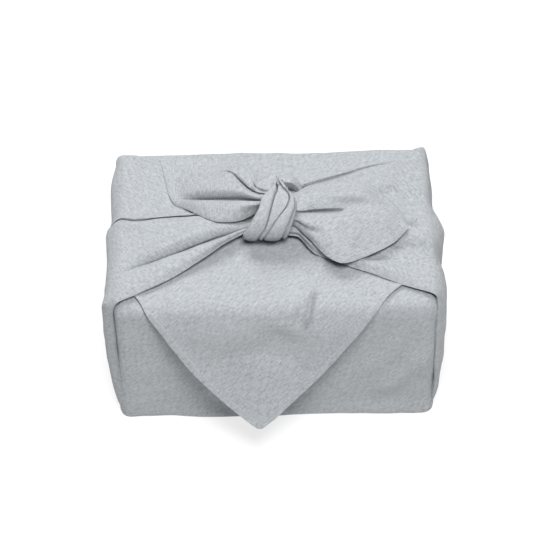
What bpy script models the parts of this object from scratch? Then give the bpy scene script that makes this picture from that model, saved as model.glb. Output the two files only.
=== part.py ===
"""Furoshiki wrap: one square hemmed cloth tied round a plain gift box.

The cloth lies under the box as a diamond.  Its near corner goes up the front and lies on the lid, its
far corner goes up the back, over the lid and hangs down the front as a pointed flap, and its left and
right corners go up the sides as pleated bands and are tied on top, which leaves two tails.

Units are millimetres in the tables and metres in the meshes.  X runs to the right, the front faces -Y,
Z is up, and the origin is the centre of the base on the floor.
"""

import math

import bmesh
import bpy
import numpy as np
from mathutils import Matrix

MM = 0.001

# Driving sizes of the wrap (mm).
CORE_HALF_WIDTH = 114.6      # centre to the outer face of the cloth on a side wall
FRONT_Y = -80.0              # outer face of the cloth on the front wall
BACK_Y = 81.0                # outer face of the cloth on the back wall
LID_Z = 115.0                # outer face of the cloth on the lid
CORNER_RADIUS = 8.0          # outer radius of the cloth round every edge of the box
INNER_LAYER_Z = 113.2        # outer face of the near corner, which lies under the far corner
WALL_CLOTH = 1.4             # thickness of the cloth round the box
BAND_CLOTH = 1.2             # thickness of the cloth in bands and tails
BOX_GAP = 1.0                # clearance between the box and the cloth on the walls
BASE_GAP = 0.3               # clearance between the box and the cloth it stands on
LID_GAP = 1.3                # clearance between the box and the cloth over it
BOX_EDGE_RADIUS = 8.5        # rounding of the box's edges

# Colours and finishes.
CLOTH_COLOUR = (0.52, 0.565, 0.60, 1.0)
BOX_COLOUR = (0.62, 0.58, 0.52, 1.0)

# Centres of the rounding, shared by the cloth and the box.
ROUND_X = CORE_HALF_WIDTH - CORNER_RADIUS
ROUND_FRONT_Y = FRONT_Y + CORNER_RADIUS
ROUND_BACK_Y = BACK_Y - CORNER_RADIUS
ROUND_FOOT_Z = CORNER_RADIUS
ROUND_INNER_Z = INNER_LAYER_Z - CORNER_RADIUS
ROUND_LID_Z = LID_Z - CORNER_RADIUS

# The near corner on the lid: y, left edge x, right edge x.
NEAR_CORNER = (
    (30.0, -16.0, 16.0),
    (-8.0, -54.0, 54.0),
    (-45.0, -ROUND_X, ROUND_X),
)

# How the front and back walls' cloth goes on round the upright edges of the box, as the side tabs that
# lie under the bands: height z, degrees round the edge, reach past it.
FRONT_TABS = (
    (105.2, 90, 60.0),
    (80.0, 90, 60.0),
    (55.0, 90, 40.0),
    (30.0, 85, 14.0),
    (18.0, 55, 0.0),
    (8.0, 30, 0.0),
)
BACK_TABS = ((107.0, 90, 60.0), *FRONT_TABS[1:])[::-1]
# The same over the rounding at the top edge and at the base: degrees round the edge, reach past it.
TOP_EDGE_TABS = ((0, 0.0), (90, 24.0), (90, 45.0), (90, 60.0))
BASE_EDGE_TABS = ((30, 0.0), (0, 0.0), (0, 0.0), (0, 0.0))
BASE_ROWS = (-36.0, 0.0, 36.0)

# The far corner from the back edge of the lid to the flap's tip: y, z, left edge x, right edge x.
FAR_CORNER = (
    (66.0, 115.0, -ROUND_X, ROUND_X),
    (40.0, 115.0, -ROUND_X, ROUND_X),
    (0.0, 115.0, -ROUND_X, ROUND_X),
    (-35.0, 115.0, -ROUND_X, 104.0),
    (-56.0, 115.1, -106.0, 94.5),
    (-67.5, 115.2, -98.5, 84.0),
    (-74.8, 114.5, -94.0, 77.5),
    (-80.6, 111.4, -91.0, 72.5),
    (-84.6, 105.5, -86.5, 67.0),
    (-87.6, 97.5, -80.3, 60.5),
    (-92.0, 82.0, -70.0, 48.4),
    (-96.8, 67.5, -60.0, 36.3),
    (-102.2, 54.0, -48.0, 22.5),
    (-108.0, 42.5, -35.0, 9.0),
    (-113.2, 34.2, -23.5, -1.5),
    (-116.4, 29.0, -15.2, -9.8),
)

# Folds of the left band on the side wall, front to back: y at the top, how far y leans out at the foot,
# then x at the foot, low, mid and high.
LEFT_SIDE = (
    # name            y     lean    foot    low     mid     high
    ("front hem",   -76.6, -3.8, -111.7, -114.4, -116.4, -117.2),
    ("front roll",  -69.0, -4.6, -117.0, -119.6, -122.4, -122.0),
    ("front slope", -53.0, 0.0, -116.6, -119.4, -121.8, -121.0),
    ("long valley", -39.0, 0.0, -116.4, -119.0, -120.6, -120.2),
    ("long slope",  -22.0, 0.0, -116.4, -119.0, -121.0, -120.4),
    ("main ridge",   -5.0, 0.0, -116.4, -119.0, -121.2, -120.6),
    ("tuck lip",     13.0, 0.0, -116.4, -118.8, -120.6, -120.8),
    ("tuck",         19.5, 0.0, -116.4, -118.0, -118.6, -117.6),
    ("rear slope",   31.0, 0.0, -116.4, -118.2, -119.2, -118.0),
    ("rear swell",   60.0, 12.0, -117.4, -118.9, -120.0, -119.8),
    ("rear hem",     78.4, 2.8, -112.4, -114.2, -115.2, -115.6),
)

# The same folds over the lid: y and height over the lid at each station on the way to the knot.
LEFT_STATIONS = (-111.0, -100.0, -77.6, -52.6, -31.8, -19.0)
LEFT_TOP = (
    #   x -111          -100           -78            -53            -32            -19
    ((-74.5, 1.9), (-68.1, 2.0), (-54.7, 2.0), (-35.9, 2.2), (-19.1, 3.2), (-14.9, 5.0)),
    ((-68.0, 3.0), (-59.5, 3.6), (-47.6, 4.8), (-32.6, 6.6), (-20.9, 9.0), (-17.4, 10.4)),
    ((-55.0, 3.0), (-46.5, 3.6), (-37.0, 4.8), (-28.5, 7.4), (-19.0, 10.6), (-14.4, 12.6)),
    ((-44.0, 2.7), (-41.0, 2.8), (-29.5, 2.6), (-21.6, 3.0), (-13.4, 4.6), (-10.4, 8.0)),
    ((-30.0, 3.2), (-31.0, 3.8), (-23.5, 5.2), (-18.8, 7.4), (-11.6, 9.6), (-8.2, 12.0)),
    ((-12.0, 3.6), (-17.0, 5.0), (-12.0, 7.6), (-9.8, 9.8), (-8.0, 12.4), (-5.4, 15.2)),
    ((6.5, 3.4), (2.0, 4.2), (3.4, 5.6), (3.2, 7.6), (-1.6, 11.4), (-1.0, 15.0)),
    ((12.0, 1.8), (7.4, 1.8), (9.7, 2.2), (9.8, 3.6), (4.2, 7.2), (2.6, 11.6)),
    ((22.0, 2.0), (14.0, 2.4), (16.0, 3.2), (17.6, 4.2), (11.6, 7.6), (6.8, 12.0)),
    ((50.0, 2.6), (42.0, 3.0), (38.0, 4.0), (34.0, 5.2), (23.0, 8.6), (12.4, 13.4)),
    ((79.0, 1.7), (78.6, 1.7), (66.0, 1.8), (56.0, 2.2), (38.0, 4.6), (19.0, 9.0)),
)

# Folds of the right band, as for the left band.
RIGHT_SIDE = (
    # name            y     lean   foot   low    mid    high
    ("front hem",   -77.0, -1.2, 116.2, 117.2, 116.0, 116.9),
    ("front roll",  -68.0, -0.6, 118.2, 120.2, 120.9, 120.8),
    ("front slope", -44.0, 0.0, 117.6, 119.6, 121.2, 122.2),
    ("soft valley", -25.0, 0.0, 117.4, 119.0, 120.2, 119.8),
    ("main ridge",    0.0, 0.0, 117.4, 119.4, 122.0, 123.4),
    ("mid slope",    22.0, 0.0, 117.2, 118.6, 119.2, 118.8),
    ("rear swell",   42.0, 0.0, 117.2, 118.2, 118.6, 118.4),
    ("rear tuck",    63.0, 9.0, 117.4, 118.2, 118.2, 118.0),
    ("rear hem",     78.4, 2.8, 112.4, 114.2, 115.2, 115.6),
)
RIGHT_STATIONS = (113.0, 91.5, 70.5, 49.0, 30.0, 17.5)
RIGHT_TOP = (
    #   x 113           92             71             49             30             18
    ((-73.0, 2.0), (-62.5, 2.0), (-51.4, 2.0), (-41.4, 2.2), (-31.9, 3.0), (-16.0, 5.0)),
    ((-66.0, 4.2), (-57.0, 4.4), (-46.6, 4.8), (-39.0, 6.2), (-31.0, 8.2), (-17.0, 10.4)),
    ((-48.0, 4.6), (-44.0, 4.8), (-37.5, 5.2), (-31.4, 6.8), (-25.4, 8.6), (-14.4, 12.4)),
    ((-33.0, 2.9), (-31.0, 5.4), (-28.6, 7.6), (-25.0, 9.6), (-21.4, 12.0), (-11.0, 15.0)),
    ((-8.0, 6.4), (-8.0, 4.4), (-10.0, 7.0), (-11.0, 11.0), (-11.6, 14.6), (-6.2, 17.6)),
    ((16.0, 2.9), (8.0, 5.8), (12.0, 8.2), (6.0, 10.8), (0.6, 14.6), (1.6, 18.0)),
    ((42.0, 3.0), (34.0, 5.8), (36.0, 7.6), (26.0, 9.4), (17.0, 12.0), (10.4, 16.0)),
    ((58.0, 2.2), (54.0, 3.4), (50.0, 4.2), (40.0, 6.0), (28.0, 8.6), (17.4, 13.6)),
    ((72.0, 1.9), (66.0, 1.8), (59.0, 1.8), (51.0, 2.0), (40.0, 3.4), (27.0, 9.0)),
)

# Tails: rows from the knot outwards, each from the upper hem to the lower hem.  Columns, each x, y, z:
# upper hem, upper slope, crest, fold, lower crest, lower slope, lower hem.
LEFT_TAIL = (
    ((-2.0, 12.0, 133.0), (-2.5, 10.0, 137.0), (-3.0, 7.0, 138.5), (-3.0, 4.0, 136.5),
     (-3.0, 1.0, 137.5), (-3.5, -3.0, 136.0), (-4.0, -6.0, 132.0)),
    ((-9.0, 23.0, 135.5), (-9.5, 18.0, 139.5), (-10.3, 10.5, 141.0), (-10.0, 5.0, 137.2),
     (-11.0, 1.0, 139.2), (-13.0, -5.0, 137.6), (-15.0, -10.0, 132.5)),
    ((-19.5, 44.0, 136.0), (-22.0, 36.0, 140.0), (-23.5, 22.0, 142.0), (-24.0, 8.0, 135.0),
     (-25.0, 2.0, 137.4), (-26.2, -6.5, 136.4), (-26.6, -13.4, 132.2)),
    ((-38.0, 54.0, 132.5), (-38.0, 45.0, 137.0), (-38.0, 28.0, 139.5), (-38.5, 10.6, 132.6),
     (-38.8, 4.4, 134.6), (-38.4, -3.6, 133.4), (-38.0, -10.0, 130.8)),
    ((-55.0, 58.0, 128.0), (-54.6, 48.0, 132.0), (-54.0, 31.0, 134.0), (-54.0, 15.6, 128.6),
     (-53.4, 9.6, 130.2), (-52.0, 3.6, 129.6), (-50.8, -1.2, 127.6)),
    ((-70.0, 61.0, 124.8), (-68.6, 50.0, 127.6), (-67.0, 35.0, 128.6), (-66.0, 23.0, 126.2),
     (-64.8, 17.4, 126.8), (-63.6, 12.2, 126.4), (-62.6, 8.0, 125.2)),
    ((-82.1, 63.3, 122.0), (-80.0, 51.0, 123.6), (-77.4, 37.0, 124.2), (-75.4, 28.0, 123.4),
     (-73.6, 22.6, 123.4), (-71.8, 17.8, 123.2), (-70.0, 13.4, 122.6)),
)
RIGHT_TAIL = (
    ((8.0, 10.0, 134.0), (9.0, 4.0, 139.0), (10.0, -3.0, 139.5), (9.0, -6.0, 138.5),
     (8.0, -9.0, 137.0), (7.0, -11.0, 133.0), (6.0, -12.0, 129.0)),
    ((22.0, 22.0, 133.0), (21.5, 11.0, 138.4), (21.0, -1.0, 139.0), (20.6, -8.0, 138.6),
     (20.0, -12.0, 139.2), (19.6, -15.5, 133.6), (19.1, -17.4, 128.4)),
    ((36.0, 21.0, 135.0), (35.0, 10.0, 139.6), (34.0, -2.0, 139.8), (33.0, -11.0, 140.2),
     (32.0, -18.0, 139.0), (30.4, -26.0, 133.6), (28.6, -32.2, 127.0)),
    ((50.0, 20.6, 135.4), (49.6, 11.0, 139.6), (49.0, -2.0, 140.6), (48.0, -13.0, 140.2),
     (46.0, -25.0, 136.4), (43.4, -37.4, 130.6), (41.6, -45.6, 124.8)),
    ((65.0, 19.6, 133.0), (64.6, 10.0, 136.6), (64.0, -2.0, 137.4), (63.0, -13.0, 136.0),
     (61.0, -25.0, 132.0), (57.6, -36.4, 126.8), (56.0, -43.8, 123.0)),
    ((79.0, 14.3, 129.4), (79.4, 6.0, 132.2), (79.2, -4.0, 133.0), (78.6, -13.0, 132.2),
     (77.0, -21.4, 130.2), (75.6, -28.8, 127.4), (74.6, -35.6, 124.6)),
    ((89.0, 5.6, 125.8), (89.6, 1.0, 127.4), (89.8, -4.4, 128.2), (89.4, -10.0, 128.0),
     (88.4, -15.2, 127.2), (87.2, -20.2, 125.8), (86.0, -25.2, 124.0)),
    ((96.0, -5.6, 122.4), (96.3, -7.2, 122.8), (96.5, -8.9, 123.0), (96.4, -10.6, 122.9),
     (96.1, -12.4, 122.6), (95.6, -14.2, 122.2), (94.8, -16.0, 121.8)),
)

# The knot: a slanted wrap with lengthwise pleats round a packed core.
KNOT_CENTRE = (2.6, -0.5, 132.0)
KNOT_WRAP_RADII = (19.0, 10.0)          # centre line of the wrap along y and z
KNOT_WRAP_HALF_WIDTH = 13.6
KNOT_WRAP_HALF_DEPTH = 6.0
KNOT_SPREAD = 0.010                     # share by which the wrap widens for each mm towards the front
KNOT_SLANT = 0.48                       # sideways shift of the wrap for each mm along y
KNOT_PLEATS = 3
KNOT_PLEAT_DEPTH = 0.26                 # depth of the grooves between the pleats, as a share
KNOT_CORE_CENTRE = (0.6, -0.5, 132.0)
KNOT_CORE_RADII = (15.0, 17.0, 11.5)


def add_material(name, colour, roughness):
    """Return a plain Principled material."""
    material = bpy.data.materials.new(name)
    material.use_nodes = True
    shader = material.node_tree.nodes["Principled BSDF"]
    shader.inputs["Base Color"].default_value = colour
    shader.inputs["Roughness"].default_value = roughness
    shader.inputs["Metallic"].default_value = 0.0
    return material


def curve_through(points, steps):
    """Return points on a smooth curve through the given ones, with `steps` for each span."""
    pts = np.asarray(points, dtype=float)
    knots = np.concatenate(([0.0], np.cumsum(np.linalg.norm(np.diff(pts, axis=0), axis=1) ** 0.5 + 1e-6)))
    slopes = np.gradient(pts, knots, axis=0)
    result = []
    for i in range(len(pts) - 1):
        span = knots[i + 1] - knots[i]
        for step in range(steps):
            t = step / steps
            result.append(pts[i] * (2 * t ** 3 - 3 * t ** 2 + 1) + pts[i + 1] * (3 * t ** 2 - 2 * t ** 3)
                          + slopes[i] * span * (t ** 3 - 2 * t ** 2 + t)
                          + slopes[i + 1] * span * (t ** 3 - t ** 2))
    result.append(pts[-1])
    return np.array(result)


def loft(rows, steps_across, steps_along):
    """Return a finer grid of points on the smooth surface through a grid of rows."""
    across = [curve_through(row, steps_across) for row in rows]
    columns = [curve_through([row[k] for row in across], steps_along) for k in range(len(across[0]))]
    return np.array(columns).transpose(1, 0, 2)


def add_mesh_object(name, vertices, faces, collection):
    """Add an object from vertices in millimetres, its doubles merged."""
    mesh = bpy.data.meshes.new(name)
    mesh.from_pydata([tuple(float(c) * MM for c in v) for v in vertices], [], faces)
    shape = bmesh.new()
    shape.from_mesh(mesh)
    bmesh.ops.remove_doubles(shape, verts=shape.verts, dist=0.00001)
    shape.to_mesh(mesh)
    shape.free()
    thing = bpy.data.objects.new(name, mesh)
    collection.objects.link(thing)
    return thing


def add_sheet(name, grid, thickness, collection, flip=False):
    """Add a sheet of cloth whose outer face is the grid."""
    rows, columns = grid.shape[:2]
    faces = []
    for r in range(rows - 1):
        for c in range(columns - 1):
            a = r * columns + c
            face = (a, a + 1, a + columns + 1, a + columns)
            faces.append(face[::-1] if flip else face)
    sheet = add_mesh_object(name, grid.reshape(-1, 3), faces, collection)
    solidify = sheet.modifiers.new("Cloth thickness", "SOLIDIFY")
    solidify.thickness = thickness * MM
    solidify.offset = -1.0
    return sheet


def add_closed_loft(name, sections, collection):
    """Add a solid through closed sections that follow one another in a ring."""
    count = len(sections)
    size = len(sections[0])
    vertices = [point for section in sections for point in section]
    faces = [(i * size + k, i * size + (k + 1) % size,
              (i + 1) % count * size + (k + 1) % size, (i + 1) % count * size + k)
             for i in range(count) for k in range(size)]
    return add_mesh_object(name, vertices, faces, collection)


def corner_row(z, side, wall_y, turn, reach, depth):
    """Return the points that carry a wall's cloth round an upright edge of the box and on as a tab.

    z is the height, side -1 or 1, wall_y the centre of the rounding, turn the angle round the edge,
    reach the tab's length past it and depth the radius of the rounding at this height.
    """
    toward = -1.0 if wall_y < 0 else 1.0
    points = []
    for share in (1 / 3, 2 / 3, 1.0):
        angle = turn * share
        points.append((side * (ROUND_X + depth * math.sin(angle)),
                       wall_y + toward * depth * math.cos(angle), z))
    end_x, end_y, _ = points[-1]
    return points + [(end_x, end_y - toward * reach * share, z) for share in (0.5, 1.0)]


SLEEVE_COLUMNS = 9
CORNER_COLUMNS = 5


def sleeve_row(y, z, left, right, corner=None):
    """Return one row of the sleeve, from the left tab to the right tab.

    corner is None where the cloth ends at the row's own ends, or the arguments that corner_row takes
    after the side.
    """
    middle = [(left + (right - left) * k / (SLEEVE_COLUMNS - 1), y, z) for k in range(SLEEVE_COLUMNS)]
    if corner is None:
        return [middle[0]] * CORNER_COLUMNS + middle + [middle[-1]] * CORNER_COLUMNS
    return corner_row(z, -1, *corner)[::-1] + middle + corner_row(z, 1, *corner)


def rounding_rows(wall_y, centre_z, start, end, turns):
    """Return the rows round an edge along X, from one angle above the horizontal to another.

    turns holds, for each row, the degrees that the cloth turns round the upright edge and the reach of
    the tab past it.
    """
    toward = -1.0 if wall_y < 0 else 1.0
    rows = []
    for (turn, reach), angle in zip(turns, np.linspace(start, end, len(turns))):
        depth = CORNER_RADIUS * math.cos(angle)
        z = centre_z + CORNER_RADIUS * math.sin(angle)
        corner = (wall_y, math.radians(turn), reach, depth) if turn else None
        rows.append(sleeve_row(wall_y + toward * depth, z, -ROUND_X, ROUND_X, corner))
    return rows


def wall_rows(wall_y, tabs):
    """Return the rows of an upright wall with its tabs."""
    toward = -1.0 if wall_y < 0 else 1.0
    return [sleeve_row(wall_y + toward * CORNER_RADIUS, z, -ROUND_X, ROUND_X,
                       (wall_y, math.radians(turn), reach, CORNER_RADIUS)) for z, turn, reach in tabs]


def make_sleeve(collection):
    """Add the cloth from the near corner round the front, base, back and lid to the flap's tip."""
    quarter = math.pi / 2
    rows = [sleeve_row(y, INNER_LAYER_Z, left, right) for y, left, right in NEAR_CORNER]
    rows += rounding_rows(ROUND_FRONT_Y, ROUND_INNER_Z, quarter, 0.0, TOP_EDGE_TABS)[:-1]
    rows += wall_rows(ROUND_FRONT_Y, FRONT_TABS)
    rows += rounding_rows(ROUND_FRONT_Y, ROUND_FOOT_Z, 0.0, -quarter, BASE_EDGE_TABS)[1:]
    rows += [sleeve_row(y, 0.0, -ROUND_X, ROUND_X) for y in BASE_ROWS]
    rows += rounding_rows(ROUND_BACK_Y, ROUND_FOOT_Z, -quarter, 0.0, BASE_EDGE_TABS[::-1])[:-1]
    rows += wall_rows(ROUND_BACK_Y, BACK_TABS)
    rows += rounding_rows(ROUND_BACK_Y, ROUND_LID_Z, 0.0, quarter, TOP_EDGE_TABS[::-1])[1:]
    rows += [sleeve_row(y, z, left, right) for y, z, left, right in FAR_CORNER]
    return add_sheet("sleeve", np.array(rows), WALL_CLOTH, collection, flip=True)


FOOT_OVERLAP = 10.0      # how far a band runs in under the base
FOOT_Z = 0.1             # its underside there, inside the thickness of the base
FOOT_SHARES = (0.88, 0.93)
FOOT_TURN_IN, FOOT_TURN_Z = 2.8, 2.2
FOOT_CURVE_Z, LOW_Z, MID_Z, HIGH_Z, SHOULDER_Z = 8.0, 30.0, 64.0, 97.0, 110.0
HEM_SHOULDER_IN, SHOULDER_IN = 0.2, 1.0
# The band's end inside the knot: how far it runs in, and its size as a share of its last row.
KNOT_ENDS = ((5.0, 0.94), (9.0, 0.90))
KNOT_END_Z = 129.0


def band_rows(side_folds, stations, top_folds):
    """Return the rows of a band from under the base, up the side wall and over the lid to the knot."""
    side = -1.0 if stations[0] < 0 else 1.0
    rows = [[] for _ in range(8)]
    for (name, y, lean, foot, low, mid, high), top in zip(side_folds, top_folds):
        rows[0].append((side * (ROUND_X - FOOT_OVERLAP), y * FOOT_SHARES[0], FOOT_Z))
        rows[1].append((side * (ROUND_X - 0.6), y * FOOT_SHARES[1], FOOT_Z))
        rows[2].append((foot - side * FOOT_TURN_IN, y + lean, FOOT_TURN_Z))
        for row, x, z in ((3, foot, FOOT_CURVE_Z), (4, low, LOW_Z), (5, mid, MID_Z), (6, high, HIGH_Z)):
            rows[row].append((x, y + lean * (1.0 - z / HIGH_Z), z))
        shoulder_in = HEM_SHOULDER_IN if name.endswith("hem") else SHOULDER_IN
        rows[7].append((high - side * shoulder_in, 0.6 * y + 0.4 * top[0][0], SHOULDER_Z))
    for k, x in enumerate(stations):
        rows.append([(x, fold[k][0], LID_Z + fold[k][1]) for fold in top_folds])
    last = rows[-1]
    for reach, share in KNOT_ENDS:
        rows.append([(x - side * reach, y * share, KNOT_END_Z + (z - KNOT_END_Z) * share)
                     for x, y, z in last])
    return rows


def make_band(name, side_folds, stations, top_folds, collection):
    """Add one pleated band."""
    rows = band_rows(side_folds, stations, top_folds)
    base = loft(rows[:8], 2, 1)          # the side wall is plainer, so it takes fewer rows
    top = loft(rows[7:], 2, 2)
    grid = np.concatenate((base[:-1], top))
    return add_sheet(name, grid, BAND_CLOTH, collection, flip=stations[0] < 0)


def make_tail(name, rows, collection, flip):
    """Add one tail."""
    return add_sheet(name, loft(rows, 2, 2), BAND_CLOTH, collection, flip)


def make_knot_wrap(collection):
    """Add the pleated wrap that goes round the knot."""
    turns, ring = 26, 18
    sections = []
    for i in range(turns):
        angle = 2 * math.pi * i / turns
        outward = np.array((0.0, math.cos(angle), math.sin(angle)))
        centre = np.array((0.0, KNOT_WRAP_RADII[0] * math.cos(angle), KNOT_WRAP_RADII[1] * math.sin(angle)))
        section = []
        for k in range(ring):
            share = 2 * math.pi * k / ring
            place = math.cos(share)
            groove = abs(math.cos(KNOT_PLEATS * math.pi * 0.5 * (1 + place))) ** 4
            depth = KNOT_WRAP_HALF_DEPTH * math.sin(share) * (1.0 - KNOT_PLEAT_DEPTH * groove)
            point = centre + outward * depth
            half_width = KNOT_WRAP_HALF_WIDTH * (1.0 - KNOT_SPREAD * point[1])
            point[0] = half_width * place + KNOT_SLANT * point[1]
            section.append(point + KNOT_CENTRE)
        sections.append(section)
    return add_closed_loft("knot wrap", sections, collection)


def make_knot_core(collection):
    """Add the packed core of the knot."""
    bpy.ops.mesh.primitive_uv_sphere_add(segments=16, ring_count=10, radius=MM)
    core = bpy.context.object
    core.name = "knot core"
    matrix = Matrix.Diagonal((*KNOT_CORE_RADII, 1.0))
    matrix.translation = [c * MM for c in KNOT_CORE_CENTRE]
    core.data.transform(matrix)
    for other in core.users_collection:
        other.objects.unlink(core)
    collection.objects.link(core)
    return core


def shells(shape):
    """Return the faces of each separate shell of a mesh."""
    seen, result = set(), []
    for face in shape.faces:
        if face in seen:
            continue
        seen.add(face)
        shell, front = [], [face]
        while front:
            current = front.pop()
            shell.append(current)
            for near in (n for edge in current.edges for n in edge.link_faces if n not in seen):
                seen.add(near)
                front.append(near)
        result.append(shell)
    return result


def keep_outer_shell(mesh):
    """Delete the shells of air trapped in the knot, so that the cloth stays one body."""
    shape = bmesh.new()
    shape.from_mesh(mesh)
    found = sorted(shells(shape), key=len)
    bmesh.ops.delete(shape, geom=[face for shell in found[:-1] for face in shell], context="FACES")
    bmesh.ops.triangulate(shape, faces=shape.faces)
    shape.to_mesh(mesh)
    shape.free()


def join_cloth(pieces, collection, material):
    """Add the one piece of cloth, as the union of its laps, and hide what it was made from."""
    first, *rest = pieces.objects
    others = bpy.data.collections.new("Laps joined to the sleeve")
    for piece in rest:
        others.objects.link(piece)
    union = first.modifiers.new("Union", "BOOLEAN")
    union.operation = "UNION"
    union.operand_type = "COLLECTION"
    union.collection = others
    union.solver = "EXACT"
    union.use_self = True
    bpy.context.view_layer.update()
    evaluated = first.evaluated_get(bpy.context.evaluated_depsgraph_get())
    mesh = bpy.data.meshes.new_from_object(evaluated)
    mesh.name = "cloth"
    keep_outer_shell(mesh)
    mesh.materials.clear()
    mesh.materials.append(material)
    cloth = bpy.data.objects.new("cloth", mesh)
    collection.objects.link(cloth)
    for piece in list(pieces.objects):
        bpy.data.objects.remove(piece, do_unlink=True)
    return cloth


def make_box(collection, material):
    """Add the plain gift box that the cloth is wrapped round."""
    half_width = CORE_HALF_WIDTH - WALL_CLOTH - BOX_GAP
    low = WALL_CLOTH + BASE_GAP
    high = INNER_LAYER_Z - WALL_CLOTH - LID_GAP
    size = (2 * half_width, BACK_Y - FRONT_Y - 2 * (WALL_CLOTH + BOX_GAP), high - low)
    bpy.ops.mesh.primitive_cube_add(size=1.0)
    box = bpy.context.object
    box.name = "box"
    matrix = Matrix.Diagonal((*(side * MM for side in size), 1.0))
    matrix.translation = [c * MM for c in (0.0, (FRONT_Y + BACK_Y) / 2, (low + high) / 2)]
    box.data.transform(matrix)
    bevel = box.modifiers.new("Rounded edges", "BEVEL")
    bevel.width = BOX_EDGE_RADIUS * MM
    bevel.segments = 4
    box.data.materials.append(material)
    for other in box.users_collection:
        other.objects.unlink(box)
    collection.objects.link(box)
    return box


def clear_scene():
    """Remove what the new scene came with."""
    for thing in list(bpy.data.objects):
        bpy.data.objects.remove(thing, do_unlink=True)


def main():
    """Build the cloth and the box."""
    clear_scene()
    parts = bpy.data.collections.new("Furoshiki wrap")
    pieces = bpy.data.collections.new("Cloth pieces")
    bpy.context.scene.collection.children.link(parts)
    bpy.context.scene.collection.children.link(pieces)
    make_sleeve(pieces)
    make_band("left band", LEFT_SIDE, LEFT_STATIONS, LEFT_TOP, pieces)
    make_band("right band", RIGHT_SIDE, RIGHT_STATIONS, RIGHT_TOP, pieces)
    make_tail("left tail", LEFT_TAIL, pieces, True)
    make_tail("right tail", RIGHT_TAIL, pieces, False)
    make_knot_wrap(pieces)
    make_knot_core(pieces)
    join_cloth(pieces, parts, add_material("cloth", CLOTH_COLOUR, 0.9))
    make_box(parts, add_material("box", BOX_COLOUR, 0.8))


main()
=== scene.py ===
"""Looks of a furoshiki wrap: one square hemmed cloth tied round a plain gift box.

The tables are in millimetres and the meshes in metres.  X runs to the right, the front faces -Y, Z is up,
and the origin is the middle of the base on the floor.
"""

import logging
import math
from dataclasses import dataclass
from enum import Enum

import bmesh
import bpy
import numpy as np
from mathutils import Matrix, Vector
from mathutils.bvhtree import BVHTree


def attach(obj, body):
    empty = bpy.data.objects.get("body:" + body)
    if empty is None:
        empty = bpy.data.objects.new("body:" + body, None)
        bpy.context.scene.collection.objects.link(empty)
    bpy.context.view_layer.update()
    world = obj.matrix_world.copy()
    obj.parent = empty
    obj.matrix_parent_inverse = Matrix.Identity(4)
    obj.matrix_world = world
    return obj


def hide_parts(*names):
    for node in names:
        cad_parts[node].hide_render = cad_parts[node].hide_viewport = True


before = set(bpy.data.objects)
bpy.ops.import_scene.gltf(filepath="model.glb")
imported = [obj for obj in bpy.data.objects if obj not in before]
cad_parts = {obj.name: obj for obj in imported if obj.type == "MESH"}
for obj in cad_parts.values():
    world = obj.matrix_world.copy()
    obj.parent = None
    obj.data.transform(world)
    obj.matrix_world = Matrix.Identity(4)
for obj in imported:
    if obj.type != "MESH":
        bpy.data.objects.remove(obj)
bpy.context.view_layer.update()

log = logging.getLogger("furoshiki")

MM = 0.001

Point = tuple[float, float, float]
Row = tuple[Point, ...]
Station = tuple[float, ...]          # the measures of one station, in the order that its table says


class Side(Enum):
    """A side of the wrap, with the sign of its X."""

    LEFT = -1.0
    RIGHT = 1.0


def put_in_scene(name: str, data: bpy.types.ID) -> bpy.types.Object:
    """Link a new object that holds the data, and return it.

    Args:
        name: The object's name.
        data: Its mesh, light or camera.

    Returns:
        The object.
    """
    thing = bpy.data.objects.new(name, data)
    bpy.context.scene.collection.objects.link(thing)
    return thing


def select_only(*things: bpy.types.Object) -> None:
    """Select these objects alone, the first of them active.

    Args:
        things: The objects; with none, nothing stays selected.
    """
    bpy.ops.object.select_all(action="DESELECT")
    for thing in things:
        thing.select_set(True)
    if things:
        bpy.context.view_layer.objects.active = things[0]


# --- Shader maths ---


class Value:
    """A number in a material, on which sums are written as Python expressions."""

    def __init__(self, graph: "NodeGraph", socket: bpy.types.NodeSocket) -> None:
        """Wrap a socket of a graph."""
        self.graph = graph
        self.socket = socket

    def _math(self, operation: str, *values: "Value | float") -> "Value":
        """Add one Math node and return its result."""
        return self.graph.add("ShaderNodeMath", {"operation": operation}, dict(enumerate(values)))

    def __add__(self, other: "Value | float") -> "Value":
        """Return the sum."""
        return self._math("ADD", self, other)

    __radd__ = __add__

    def __sub__(self, other: "Value | float") -> "Value":
        """Return the difference."""
        return self._math("SUBTRACT", self, other)

    def __rsub__(self, other: float) -> "Value":
        """Return the difference from a plain number."""
        return self._math("SUBTRACT", other, self)

    def __mul__(self, other: "Value | float") -> "Value":
        """Return the product."""
        return self._math("MULTIPLY", self, other)

    __rmul__ = __mul__

    def __truediv__(self, other: "Value | float") -> "Value":
        """Return the quotient."""
        return self._math("DIVIDE", self, other)

    def __rtruediv__(self, other: float) -> "Value":
        """Return the quotient of a plain number."""
        return self._math("DIVIDE", other, self)

    def sine(self) -> "Value":
        """Return the sine."""
        return self._math("SINE", self)

    def maximum(self, other: "Value | float") -> "Value":
        """Return the larger of the two."""
        return self._math("MAXIMUM", self, other)

    def between(self, low: float, high: float) -> "Value":
        """Return a soft step from 0 at one number to 1 at the other.

        Args:
            low: Where the step starts.
            high: Where it ends.

        Returns:
            The step.
        """
        return self.graph.add(
            "ShaderNodeMapRange",
            {"interpolation_type": "SMOOTHSTEP"},
            {"Value": self, "From Min": low, "From Max": high},
        )


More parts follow.
